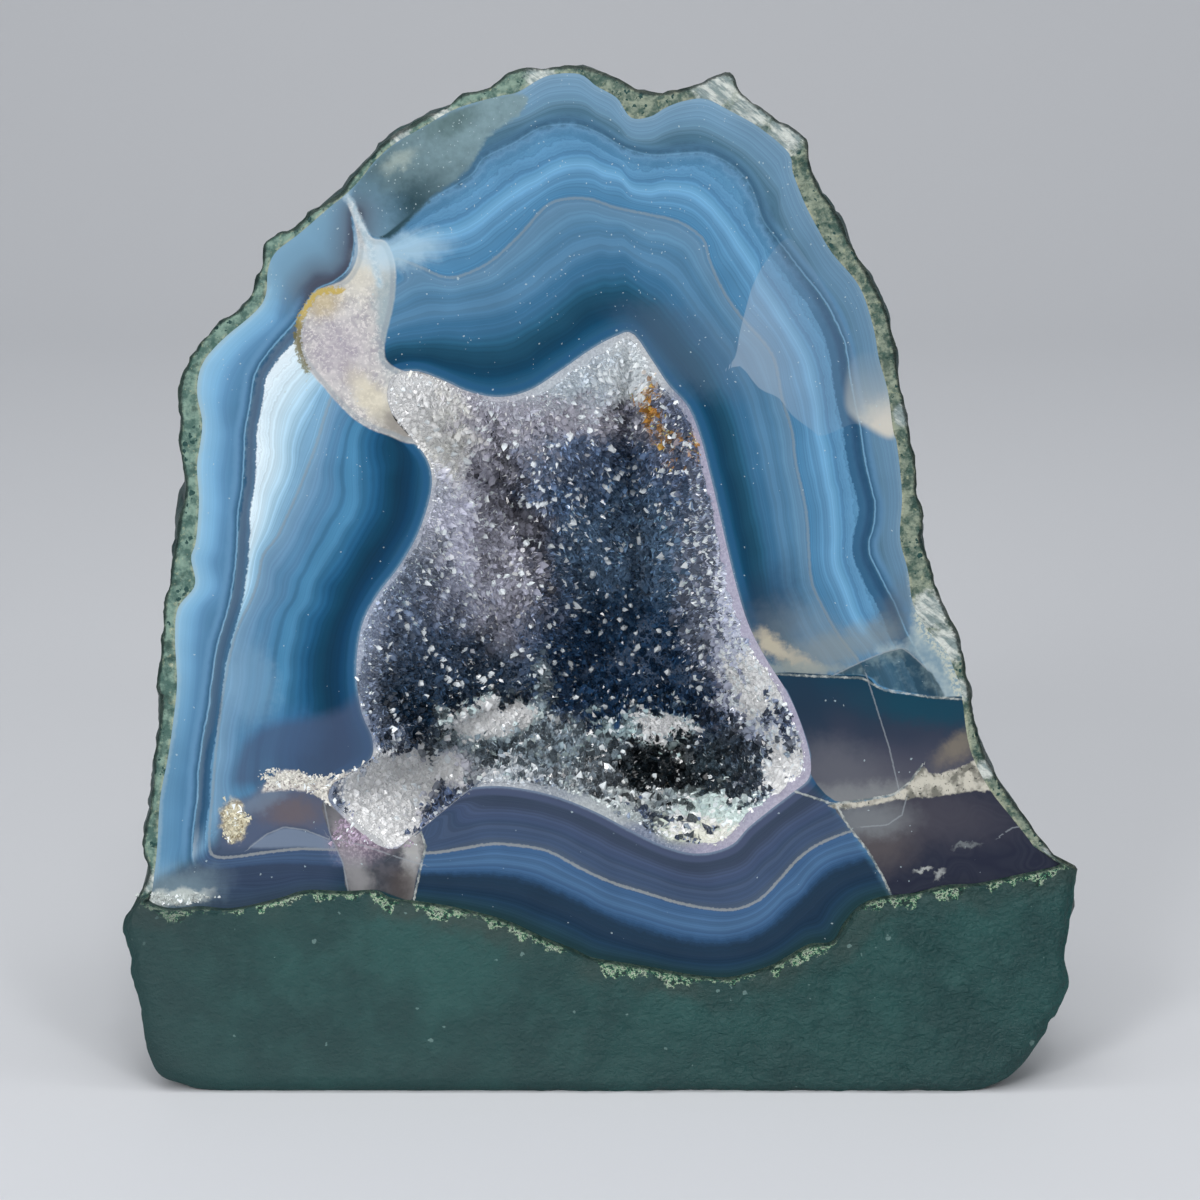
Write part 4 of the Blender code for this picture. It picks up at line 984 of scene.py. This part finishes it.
def basaltMaterial():
    material, tree, shader, where = newMaterial("Painted basalt and cut rind")
    broad = noise(tree, where, 20.0, 3.0)
    patchy = noise(tree, where, 5.0, 4.0, 0.6)
    grit = noise(tree, where, 1.2, 5.0, 0.7)
    chipped = add(tree, "TexNoise", {"Vector": where, "Scale": 1 / (0.7 * mm), "Detail": 1.0}, 1)
    chipped = warped(tree, where, chipped, 0.8 * mm)
    stretched = add(tree, "Mapping", {"Vector": where, "Scale": (0.6, 1.0, 1.0), "Rotation": (0.0, 0.64, 0.0)})
    strokes = noise(tree, stretched, 0.9, 3.0, 0.6, 0.3)
    kind = readValue(tree, "painted")
    isPaint = step(tree, kind, 0.3, 0.7)
    isBack = step(tree, kind, 1.2, 1.8)
    isFront = maths(tree, "SUBTRACT", 1.0, isBack)
    fromLine = readValue(tree, "footLine")
    paint = blend(tree, step(tree, broad, 0.35, 0.68), "153b3b", "1e4b49")
    paint = blend(tree, times(tree, step(tree, patchy, 0.45, 0.7), 0.3), paint, "29504e")
    paint = blend(tree, times(tree, step(tree, strokes, 0.5, 0.3), 0.15), paint, "132d2e")
    paint = blend(tree, times(tree, step(tree, strokes, 0.58, 0.75), 0.1), paint, "3d6265")
    # painted shade: the foot's front paint darkens within 20 mm of the floor
    low = step(tree, add(tree, "SeparateXYZ", {0: where}, 2), 0.02, 0.002)
    paint = blend(tree, times(tree, low, 0.35), paint, "1f393a")
    # darker grey patches within a few millimetres under the agate's edge
    darkUnderAgate = times(tree, step(tree, shifted(tree, fromLine, patchy, 9.0), 7.0, 2.0), step(tree, broad, 0.38, 0.6), isFront)
    paint = blend(tree, times(tree, darkUnderAgate, 0.65), paint, blend(tree, grit, "22302e", "3a4541"))
    backPaint = blend(tree, step(tree, grit, 0.35, 0.68), "14292a", "2c4a49")
    backPaint = blend(tree, times(tree, step(tree, patchy, 0.5, 0.7), 0.4), backPaint, "3a5856")
    paint = blend(tree, isBack, paint, backPaint)
    chips = times(tree, specks(tree, chipped, 2.6, 0.10, 0.16), isFront)
    paint = blend(tree, times(tree, chips, 0.45), paint, "7f9c98")
    # crumbs of green, gold and white mineral along the agate's edge, gathered in places
    place = add(tree, "Attribute", output=1, attribute_name="facePlace")
    along = stripes(tree, add(tree, "SeparateXYZ", {0: place}), 0.11, 2.0)
    reachOut = add(tree, "MapRange", {0: along, 1: 0.40, 2: 0.62, 3: 0.2, 4: 2.8})
    on = step(tree, maths(tree, "SUBTRACT", shifted(tree, fromLine, grit, 4.0), reachOut), 0.2, -0.2)
    crumbTone = ramp(tree, noise(tree, where, 1.3, 4.0, 0.8), 1.0, [
        (0.0, "0b1f1d"), (0.44, "0f2c29"), (0.475, "12433a"), (0.495, "2c8a64"), (0.515, "8fa37c"),
        (0.55, "b9c2b4"), (0.58, "2d4a3f"), (0.66, "122a27"), (1.0, "0e2320"),
    ])  # fmt: skip
    paint = blend(tree, times(tree, on, isFront), paint, crumbTone)
    seam = step(tree, shifted(tree, fromLine, grit, 0.8), 0.75, 0.35)
    paint = blend(tree, times(tree, seam, isFront, 0.85), paint, "0c2a26")
    # polished rind: mottled green and cream, with groups of dark eyes, a dark outer and a cream inner edge
    mottled = noise(tree, where, 2.2, 3.0, 0.65)
    across = add(tree, "SeparateXYZ", {0: place})
    onRight = step(tree, across, -30.0, 10.0)
    paint = blend(tree, times(tree, step(tree, across, -66.0, -92.0), isFront, 0.6), paint, "1a3133")
    rindLeft = blend(tree, step(tree, mottled, 0.36, 0.64), "3f6058", "7a9688")
    rindRight = blend(tree, step(tree, mottled, 0.36, 0.64), "3b554c", "8a9583")
    rind = blend(tree, onRight, rindLeft, rindRight)
    rind = blend(tree, times(tree, step(tree, patchy, 0.54, 0.66), 0.8), rind, "1f3f38")
    rind = blend(tree, times(tree, step(tree, grit, 0.56, 0.68), 0.6), rind, "a3a88a")
    rind = blend(tree, specks(tree, chipped, 1.3, step(tree, patchy, 0.5, 0.42), 0.36), rind, "123f3c")
    rind = blend(tree, times(tree, step(tree, grit, 0.68, 0.74), 0.7), rind, "c3c8b8")
    inner = step(tree, shifted(tree, readValue(tree, "rindEdge"), grit, 0.9), 0.7, 0.15)
    rind = blend(tree, times(tree, inner, step(tree, mottled, 0.4, 0.6), 0.45), rind, "a9aa90")
    white = shifted(tree, readValue(tree, "whiteRind"), grit, 0.9)
    inputs = {"Vector": where, "Rotation": (0.0, 0.66, 0.0), "Scale": (4.0, 1.0, 0.8)}
    streaky = noise(tree, add(tree, "Mapping", inputs, vector_type="TEXTURE"), 1.3, 3.0, 0.6)
    whiteTone = blend(tree, step(tree, streaky, 0.38, 0.62), "7f8f90", "d0d5d0")
    rind = blend(tree, times(tree, step(tree, white, 0.4, 0.8), 0.9), rind, whiteTone)
    outer = step(tree, shifted(tree, readValue(tree, "rimDistance"), grit, 1.6), 1.0, 0.3)
    rind = blend(tree, times(tree, outer, 0.85), rind, "122321")
    surface = blend(tree, isPaint, rind, paint)
    shader.inputs["Specular IOR Level"].default_value = 0.3
    tree.links.new(surface, shader.inputs["Base Color"])
    tree.links.new(spread(tree, shifted(tree, kind, grit, 0.2), 0.3, 0.42), shader.inputs["Roughness"])
    # the foot's paint is smooth on the left and pitted towards the right
    pitted = maths(tree, "ADD", 0.35, times(tree, step(tree, across, -40.0, 50.0), 0.9))
    height = maths(tree, "ADD", times(tree, strokes, isFront, pitted, 1.8), times(tree, grit, 0.9))
    height = maths(tree, "ADD", height, times(tree, mottled, pitted, 1.2))
    tree.links.new(bump(tree, height, 0.55, 0.75), shader.inputs["Normal"])
    return material


whiteSpots = [  # centre in pixels, radius in mm
    ((715, 88), 6.0), ((750, 110), 6.0), ((785, 135), 5.0), ((930, 610), 5.0), ((945, 645), 5.0),
    ((960, 690), 3.0), ((985, 770), 2.5), ((400, 135), 3.0), ((440, 112), 3.0), ((540, 76), 4.0),
    ((904, 415), 3.0), ((1045, 855), 2.0), ((160, 885), 4.0),
]  # fmt: skip

basaltPoints, basaltFaces, painted = buildBasalt()
basaltPlaces = facePlaces(basaltPoints)
whiteness = [np.hypot(*(basaltPlaces - fromPhoto([spot])[0]).T) / radius for spot, radius in whiteSpots]
basaltPiece = makeMesh("basalt_shell", basaltPoints, basaltFaces, {
    "facePlace": basaltPlaces,
    "painted": painted,
    "footLine": lineDistance(basaltPlaces, footEdge)[0],
    "rimDistance": lineDistance(basaltPlaces, outline, True)[0],
    "rindEdge": lineDistance(basaltPlaces, wall, True)[0],
    "whiteRind": np.exp(-(np.min(whiteness, 0) ** 2)),
})  # fmt: skip
mountPiece(basaltPiece, "geode_stone", basaltMaterial())

# The crust that the crystals grow on: a polished quartz rim and a rough lining

crust = {"columns": 360, "wallRings": 7, "rim": 1.9, "liningRings": 90, "gain": 2.6}
bumps = [  # x, s, height towards the face, and radius along x and s, in mm
    (-13.0, 96.0, 13.0, 6.0, 26.0),
    (-24.0, 70.0, 12.0, 9.0, 7.0),
    (10.0, 68.0, 15.0, 12.0, 6.5),
    (-2.0, 128.0, 8.0, 14.0, 10.0),
]
crustAngles = np.linspace(np.pi, -np.pi, crust["columns"], endpoint=False)
crustReach = reach(opening, crustAngles, face["middle"])


def liningPoint(angle, share):
    # metres: the lining at a share of the way from the rim's inner edge to the deepest point.
    # depth = full depth times 1 - (1 - share) to the power of the steepness, less the ribs and mounds
    far = np.interp(-angle, -crustAngles, crustReach, period=2 * np.pi)
    edgeX = face["middle"][0] + far * np.cos(angle)
    edgeS = face["middle"][1] + far * np.sin(angle)
    ridge = 0.8 * roughNoise(np.stack([edgeX, edgeS, 0 * far], -1), 2.4, 61, 2)
    rim = crust["rim"] * (0.4 + 0.6 * smoothStep(edgeX, -30, -5))
    radius = (far - rim + ridge * (1 - share)) * (1 - share)
    x = face["middle"][0] + radius * np.cos(angle)
    s = face["middle"][1] + radius * np.sin(angle)
    depth = hollow["depth"] * (1 - (1 - share) ** steepness(edgeX, edgeS))
    raised = sum(
        height * np.exp(-(((x - bx) / wide) ** 2) - ((s - bs) / tall) ** 2) for bx, bs, height, wide, tall in bumps
    )
    raised = raised + 1.1 * roughNoise(np.stack([x, s, depth], -1), 7.0, 81, 2)
    depth = np.maximum(depth - raised * smoothStep(share / 0.3), 0.0)
    return onFace(x, s, -depth), np.stack([x, s], -1), depth


# The navy and near-black zones are partly the amethyst's own colour and partly painted shade of the hollow's depth
zones = [  # colours of the hollow, laid over one another: colour, centre in pixels, radii in mm, strength
    ("4c586e", (600, 600), (200, 200), 1.0),
    ("87868f", (515, 412), (30, 17), 1.0),
    ("8e959b", (575, 365), (22, 8), 1.0),
    ("9c9fa0", (640, 365), (7, 8), 0.8),
    ("a5a49f", (425, 450), (9, 16), 1.0),
    ("777d88", (430, 540), (12, 14), 0.9),
    ("9a9aa6", (478, 575), (11, 24), 0.85),
    ("75757f", (508, 540), (8, 20), 0.8),
    ("8a93a4", (380, 640), (7, 18), 0.7),
    ("2c4a68", (590, 475), (16, 9), 0.75),
    ("526980", (628, 562), (15, 17), 0.95),
    ("0e2436", (450, 690), (17, 13), 0.95),
    ("47586f", (425, 625), (9, 14), 0.5),
    ("0f2c46", (640, 668), (25, 17), 0.9),
    # painted shade: the next six are thin dark streaks down crevices in the lining
    ("23252e", (497, 455), (1.6, 6), 0.8),
    ("23252e", (512, 492), (1.6, 6), 0.8),
    ("23252e", (528, 532), (1.6, 6), 0.8),
    ("23252e", (538, 575), (1.5, 7), 0.7),
    ("262c3c", (622, 430), (1.5, 7), 0.7),
    ("1e2028", (642, 520), (1.8, 16), 0.5),
    ("6f7685", (705, 560), (4, 24), 0.8),
    ("9a9dad", (737, 620), (3.5, 24), 0.85),
    ("b4b9c9", (762, 690), (5, 11), 0.95),
    ("6f7a81", (530, 760), (26, 7), 0.95),
    ("70777c", (600, 790), (14, 5), 0.8),
    # painted shade: the deep hole below the milky mounds
    ("11181c", (675, 775), (15, 7), 1.0),
    ("3d4a52", (735, 765), (8, 8), 0.7),
    ("8f9397", (470, 783), (16, 2.6), 0.9),
    ("8e9494", (600, 812), (13, 3.0), 0.9),
    ("d7e6e2", (485, 723), (9, 4.2), 1.0),
    ("9fadae", (540, 690), (1.8, 7), 0.45),
    ("c6dad8", (664, 737), (6.4, 3.2), 1.0),
    ("8fa1a1", (610, 735), (7, 2.2), 0.6),
    ("80858b", (450, 782), (8, 4), 0.85),
    ("a9a6ad", (428, 778), (8, 4), 0.9),
    ("fdfcf6", (385, 797), (8, 9), 1.0),
    ("d9cedb", (378, 828), (8, 4), 0.7),
    ("939e9c", (730, 818), (14, 4), 1.0),
    ("aaae9c", (705, 834), (9, 2.4), 0.9),
    ("a6a5b8", (684, 824), (3, 2), 0.7),
    ("c9cdd2", (790, 775), (4.0, 9), 1.0),
    ("a0722c", (655, 410), (1.8, 4.6), 0.95),
    ("a37a45", (684, 440), (3.0, 1.6), 0.9),
    ("d8d2bc", (402, 398), (6, 6), 0.8),
]
zoneColours = [(np.array(colour(code)[:3]), fromPhoto([centre])[0], radii, strength)
               for code, centre, radii, strength in zones]  # fmt: skip


def zoneTint(places, jitter=0.0):
    # each zone covers the ones before it, and fades out over its outer part
    tint = np.zeros((len(places), 3))
    for tone, centre, (wide, tall), strength in zoneColours:
        away = places + jitter - centre
        share = strength * smoothStep(np.hypot(away[:, 0] / wide, away[:, 1] / tall), 1.3, 0.6)
        tint += share[:, None] * (tone - tint)
    return np.minimum(tint * crust["gain"], 0.92)


def buildCrust():
    # from the hidden back of the crust up the hollow's wall, over the rim, and down the lining
    rings = []
    edge = face["middle"] + crustReach[:, None] * np.column_stack([np.cos(crustAngles), np.sin(crustAngles)])
    steep = steepness(edge[:, 0], edge[:, 1]) + 0.6
    fullDepth = hollow["depth"] + hollow["crust"] - 0.3
    for k in range(1, crust["wallRings"] + 1):
        share = 1 - k / crust["wallRings"]
        x, s = (face["middle"] + (1 - share) * (edge - face["middle"])).T
        rings.append(onFace(x, s, -fullDepth * (1 - (1 - share) ** steep)))
    inner = liningPoint(crustAngles, 0.0)[1]
    for t in (0.06, 0.35, 0.7):
        x, s = (edge + (inner - edge) * t).T
        rings.append(onFace(x, s, -0.02 - 0.15 * t * t))
    for share in np.linspace(0, 1, crust["liningRings"], endpoint=False) ** 1.3:
        rings.append(liningPoint(crustAngles, share)[0])
    last = liningPoint(np.array([0.0]), np.array([1.0]))[0]
    points = ball(onFace(*face["middle"], -fullDepth), rings, last)
    lining = 1 + (crust["wallRings"] + 3) * crust["columns"]
    grain = roughNoise(points[lining:] / mm, 1.5, 71, 2)
    points[lining:] += grain[:, None] * 0.3 * mm * np.array([0.0, -1.0, 0.25])
    isRim = np.zeros(len(points))
    isRim[1 + (crust["wallRings"] - 1) * crust["columns"] : lining + crust["columns"]] = 1.0
    return points, gridLoops(len(rings), crust["columns"]), isRim


def crustMaterial():
    material, tree, shader, where = newMaterial("Quartz crust")
    tint = add(tree, "Attribute", output=0, attribute_name="tint")
    isRim = readValue(tree, "rim")
    grain = noise(tree, where, 0.6, 4.0, 0.75)
    milky = step(tree, add(tree, "SeparateColor", {0: tint}, 1), 0.45, 0.85)
    # painted shade: the lining between the crystals is darkened by a grain noise, to 35 % on coloured ground and 85 %
    # on milky ground
    gapShadeLimit = maths(tree, "ADD", 0.35, times(tree, milky, 0.5))
    lining = blend(tree, 1.0, tint, spread(tree, grain, gapShadeLimit, 1.0), "MULTIPLY")
    rimTone = blend(tree, step(tree, grain, 0.36, 0.66), "5b606c", "9ba0a9")
    rimTone = blend(tree, 0.6, rimTone, blend(tree, 1.0, tint, "d9d9d9", "MULTIPLY"))
    rimTone = blend(tree, times(tree, step(tree, grain, 0.62, 0.68), 0.8), rimTone, "dfe3e6")
    smooth = step(tree, add(tree, "SeparateXYZ", {0: where}), 0.014, 0.022)
    rimTone = blend(tree, times(tree, smooth, 0.85), rimTone, blend(tree, grain, "8d88a0", "aeaabf"))
    tree.links.new(blend(tree, isRim, lining, rimTone), shader.inputs["Base Color"])
    tree.links.new(spread(tree, grain, 0.15, 0.4), shader.inputs["Roughness"])
    tree.links.new(bump(tree, grain, 0.35, 0.8), shader.inputs["Normal"])
    shader.inputs["IOR"].default_value = 1.54
    return material


crustPoints, crustFaces, isRim = buildCrust()
crustPiece = makeMesh("quartz_crust", crustPoints, crustFaces, {
    "tint": zoneTint(facePlaces(crustPoints)),
    "rim": isRim,
})  # fmt: skip
mountPiece(crustPiece, "amethyst_crust", crustMaterial())

# Crystals: six-sided points in thousands, sized and coloured by where they grow

crystalGroups = [  # sizes and spacing in mm, how many places are tried, and the heights it grows between
    # bright is the share of crystals painted white as glints, a painted highlight
    {"name": "druse_upper", "sizes": (0.52, 1.22), "spacing": 0.66, "tries": 300000, "seed": 11, "lean": 0.34,
     "bright": 0.035, "contrast": 0.58, "clear": 0.25, "gloss": 0.16, "floor": (82.0, 300.0), "prism": False},
    {"name": "druse_lower", "sizes": (0.5, 1.15), "spacing": 0.6, "tries": 300000, "seed": 12, "lean": 0.36,
     "bright": 0.03, "contrast": 0.58, "clear": 0.3, "gloss": 0.12, "floor": (-50.0, 82.0), "prism": False},
    {"name": "amethyst_points", "sizes": (0.8, 1.9), "spacing": 1.8, "tries": 60000, "seed": 13, "lean": 0.42,
     "bright": 0.14, "contrast": 0.5, "clear": 0.4, "gloss": 0.07, "floor": (74.0, 300.0), "prism": True},
    {"name": "quartz_points", "sizes": (0.8, 2.2), "spacing": 1.3, "tries": 60000, "seed": 14, "lean": 0.5,
     "bright": 0.05, "contrast": 0.6, "clear": 0.7, "gloss": 0.04, "floor": (-50.0, 76.0), "prism": True},
]  # fmt: skip


def scatter(group, draw):
    # random places on the lining, spread evenly by area, at most one in each cube of the group's spacing
    angle = draw.uniform(-np.pi, np.pi, group["tries"])
    share = draw.uniform(0.0, 0.995, group["tries"]) ** 1.15
    at, places, depth = liningPoint(angle, share)
    nudge = 0.004
    around = liningPoint(angle + nudge, share)[0] - at
    inward = liningPoint(angle, np.minimum(share + nudge, 1.0))[0] - at
    normal = np.cross(around, inward)
    area = np.linalg.norm(normal, axis=1)
    normal /= np.maximum(area, 1e-12)[:, None]
    middle = onFace(*face["middle"], -20.0)
    normal *= np.where(np.einsum("ij,ij->i", normal, middle - at) < 0, -1, 1)[:, None]
    density = area / np.maximum(share, 0.01) ** (0.15 / 1.15)
    low, high = group["floor"]
    fuzzy = places[:, 1] + draw.normal(0, 2.0, len(places)) * group["prism"]
    chosen = draw.uniform(0, 1, group["tries"]) < density / np.quantile(density, 0.97)
    chosen &= (fuzzy > low) & (fuzzy <= high)
    cells = np.floor(at[chosen] / (group["spacing"] * mm)).astype(int)
    picked = np.flatnonzero(chosen)[np.unique(cells, axis=0, return_index=True)[1]]
    return at[picked], normal[picked], places[picked], depth[picked]


def growPoints(group, at, normal, width, height, tints, draw):
    # each crystal is a six-sided point, with or without a short prism under it, turned and leaning at random.
    # What would stand over the polished face is cut off level with it
    count = len(at)
    axis = normal + group["lean"] * draw.normal(0, 1, (count, 3))
    axis /= np.linalg.norm(axis, axis=1)[:, None]
    side = np.cross(axis, draw.normal(0, 1, (count, 3)))
    side /= np.linalg.norm(side, axis=1)[:, None]
    other = np.cross(axis, side)
    turn = (np.arange(6) * np.pi / 3)[None, :, None]
    radius = width[:, None] / 2 * (1 + 0.2 * draw.uniform(-1, 1, (count, 6)))
    across = radius[..., None] * (np.cos(turn) * side[:, None] + np.sin(turn) * other[:, None])
    centre = at[:, None] / mm
    along = axis[:, None]
    foot = centre - (0.7 * width)[:, None, None] * along + across
    aside = side * draw.uniform(-1, 1, (count, 1)) + other * draw.uniform(-1, 1, (count, 1))
    tip = centre[:, 0] + height[:, None] * axis + 0.24 * width[:, None] * aside
    rings = [foot]
    if group["prism"]:
        shoulder = height[:, None] * draw.uniform(0.1, 0.6, (count, 1)) + np.outer(width, np.tile([0.14, -0.14], 3))
        rings.append(centre + shoulder[..., None] * along + across)
    points = np.concatenate([*rings, tip[:, None]], 1).reshape(-1, 3) * mm
    facing = np.array([0.0, -np.cos(face["tilt"]), np.sin(face["tilt"])])
    over = (points - onFace(*face["middle"])) @ facing - group.get("proud", 0.02) * mm
    points -= np.maximum(over, 0)[:, None] * facing
    corners = 6 * len(rings) + 1
    first = np.arange(count)[:, None] * corners
    i = np.arange(6)
    j = (i + 1) % 6
    top = 6 * (len(rings) - 1)
    faces = [
        (np.stack([i + top, j + top, np.full(6, top + 6)], -1)[None] + first[..., None]).reshape(-1, 3),
        i[::-1][None] + first,
    ]
    if group["prism"]:
        faces.append((np.stack([i, j, j + 6, i + 6], -1)[None] + first[..., None]).reshape(-1, 4))
    chance = np.repeat(draw.uniform(0, 1, count), corners)
    attributes = {"tint": np.repeat(tints, corners, 0), "chance": chance}
    return makeMesh(group["name"], points, faces, attributes, smooth=False)


def crystalMaterial(group):
    # see-through quartz tinted by its place; a few crystals are painted white all through as glints, a painted
    # highlight standing in for facets that catch the light
    material, tree, shader, where = newMaterial(group["name"].replace("_", " "))
    tint = add(tree, "Attribute", output=0, attribute_name="tint")
    chance = readValue(tree, "chance")
    milky = step(tree, add(tree, "SeparateColor", {0: tint}, 1), 0.45, 0.85)
    # brightness = 1 - contrast + 4 contrast chance^3: most are dull, a few are bright, and the mean stays 1
    contrast = times(tree, maths(tree, "SUBTRACT", 1.0, times(tree, milky, 0.75)), group["contrast"])
    gain = maths(tree, "SUBTRACT", times(tree, maths(tree, "POWER", chance, 3.0), 4.0), 1.0)
    gain = maths(tree, "ADD", 1.0, times(tree, gain, contrast))
    surface = add(tree, "Mix", {0: 1.0, 6: tint, 7: gain}, 2, data_type="RGBA", blend_type="MULTIPLY", clamp_result=True)
    # painted highlight: this share of the crystals is painted near white as glints
    isPaintedGlint = step(tree, chance, 1 - group["bright"], 1.001 - group["bright"])
    surface = blend(tree, isPaintedGlint, surface, "f4fafd")
    tree.links.new(surface, shader.inputs["Base Color"])
    clear = maths(tree, "SUBTRACT", 1.0, maths(tree, "MAXIMUM", milky, isPaintedGlint))
    tree.links.new(times(tree, clear, group["clear"]), shader.inputs["Transmission Weight"])
    shader.inputs["Roughness"].default_value = group["gloss"]
    shader.inputs["IOR"].default_value = 1.544
    return material


def buildCrystals():
    for group in crystalGroups:
        draw = np.random.default_rng(group["seed"])
        at, normal, places, depth = scatter(group, draw)
        low, high = group["sizes"]
        width = low + (high - low) * draw.beta(1.5, 3.4, len(at))
        width *= 0.5 + 0.5 * smoothStep(depth, 0.0, 7.0)
        height = width * draw.uniform(0.5, 1.4, len(at))
        spots = np.column_stack([places, depth])
        drift = np.column_stack([roughNoise(spots, 5.0, 91, 3), roughNoise(spots, 5.0, 95, 3)])
        tints = zoneTint(places, 4.0 * drift + draw.normal(0, 0.9, (len(at), 2)))
        height *= 1 - 0.6 * smoothStep(tints[:, 1], 0.6, 0.9) * smoothStep(places[:, 1], 95, 75)
        piece = growPoints(group, at, normal, width, height, tints, draw)
        mountPiece(piece, "amethyst_crust", crystalMaterial(group))


buildCrystals()

sugarSpots = [  # small crystals that the saw left standing on the face: colour, centre in pixels, radii in mm, count
    ("eae8e0", (290, 779), (6.0, 1.9), 260), ("e6e3dc", (326, 786), (5.0, 2.6), 260), ("f0eee8", (350, 792), (4.6, 4.6), 360),
    ("c4b2c8", (374, 826), (7.6, 4.4), 520), ("e2dcc4", (234, 821), (2.3, 4.0), 220), ("cfd6d4", (176, 898), (7.0, 1.1), 160),
]  # fmt: skip
# bright here too is the share of crystals painted white as glints, a painted highlight
sugar = {"name": "sugar_points", "lean": 0.6, "bright": 0.1, "contrast": 0.2, "clear": 0.1, "gloss": 0.1,
         "prism": False, "proud": 0.45}  # fmt: skip


def buildSugar():
    draw = np.random.default_rng(15)
    places, tints = [], []
    for code, centre, radii, count in sugarSpots:
        turn = draw.uniform(0, 2 * np.pi, count)
        away = np.sqrt(draw.uniform(0, 1, count)) * (1 + 0.25 * np.sin(3 * turn + centre[0]) + 0.15 * np.sin(7 * turn))
        places.append(fromPhoto([centre])[0] + (away * [np.cos(turn), np.sin(turn)]).T * radii)
        tints.append(np.tile(colour(code)[:3], (count, 1)) * draw.uniform(0.75, 1.1, (count, 1)))
    places = np.concatenate(places)
    outside = insideDistance(places, opening) < -0.2
    places, tints = places[outside], np.minimum(np.concatenate(tints)[outside], 1.0)
    width = draw.uniform(0.5, 1.1, len(places))
    normal = np.tile([0.0, -np.cos(face["tilt"]), np.sin(face["tilt"])], (len(places), 1))
    piece = growPoints(sugar, onFace(*places.T, -0.1), normal, width, 0.7 * width, tints, draw)
    mountPiece(piece, "amethyst_crust", crystalMaterial(sugar))


buildSugar()

# Floor, light and camera

stage = {"width": 8.0, "front": -3.0, "bend": 1.1, "radius": 0.9, "top": 3.0}
view = {"middle": (600, 600), "distance": 0.65, "halfWidth": 0.12}


def buildFloor():
    # a pale sheet that lies flat and then curves up behind: one profile carried straight across
    turn = np.linspace(0, np.pi / 2, 24)
    bendY = stage["bend"] + stage["radius"] * np.sin(turn)
    bendZ = stage["radius"] * (1 - np.cos(turn))
    profile = np.column_stack([np.append(bendY, bendY[-1]), np.append(bendZ, stage["top"])])
    profile = np.vstack([[stage["front"], 0.0], profile])
    half = stage["width"] / 2
    rows = [np.column_stack([np.full(len(profile), x), profile]) for x in (-half, half)]
    count = len(profile)
    faces = [(k, k + 1, k + 1 + count, k + count)[::-1] for k in range(count - 1)]
    mesh = bpy.data.meshes.new("floor")
    mesh.from_pydata(np.vstack(rows).tolist(), [], faces)
    mesh.shade_smooth()
    material, tree, shader, where = newMaterial("Pale floor")
    shader.inputs["Base Color"].default_value = colour("d4d6da")
    shader.inputs["Roughness"].default_value = 0.7
    mesh.materials.append(material)
    floor = bpy.data.objects.new("floor", mesh)
    bpy.context.scene.collection.objects.link(floor)


def softLight(name, place, size, power, target=(0.0, 0.0, 0.1)):
    lamp = bpy.data.lights.new(name, "AREA")
    lamp.shape = "RECTANGLE"
    lamp.size, lamp.size_y = size
    lamp.energy = power
    light = bpy.data.objects.new(name, lamp)
    bpy.context.scene.collection.objects.link(light)
    light.location = place
    light.rotation_euler = (Vector(target) - Vector(place)).to_track_quat("-Z", "Y").to_euler()


def buildStage():
    buildFloor()
    softLight("key", (-0.6, -1.1, 0.62), (0.4, 0.4), 5.5)
    softLight("fill", (0.62, -1.05, 0.4), (0.3, 0.5), 2.15)
    softLight("top", (0.0, -0.3, 1.3), (1.0, 0.6), 4.4)
    for x, y, z in ((-0.42, -0.8, 0.72), (0.45, -0.8, 0.7), (-0.5, -0.85, 0.2), (0.1, -0.7, 0.85)):
        softLight("sparkle", (x, y, z), (0.13, 0.13), 0.95)
    softLight("backdrop", (0.0, 0.3, 2.2), (2.5, 0.6), 22.0, (0.0, 1.8, 0.6))
    world = bpy.data.worlds.new("Soft room")
    world.use_nodes = True
    world.node_tree.nodes["Background"].inputs["Color"].default_value = colour("d5dbe2")
    world.node_tree.nodes["Background"].inputs["Strength"].default_value = 0.22
    bpy.context.scene.world = world


def buildCamera():
    # looks straight at the polished face, so that a pixel is the same length all over it
    lens = bpy.data.cameras.new("camera")
    lens.sensor_width = 36.0
    lens.lens = lens.sensor_width / 2 / (view["halfWidth"] / view["distance"])
    camera = bpy.data.objects.new("camera", lens)
    bpy.context.scene.collection.objects.link(camera)
    x, s = fromPhoto([view["middle"]])[0]
    camera.location = onFace(x, s, view["distance"] / mm)
    camera.rotation_euler = (np.pi / 2 - face["tilt"], 0.0, 0.0)
    bpy.context.scene.camera = camera
    bpy.context.scene.view_settings.view_transform = "Standard"


buildStage()
buildCamera()
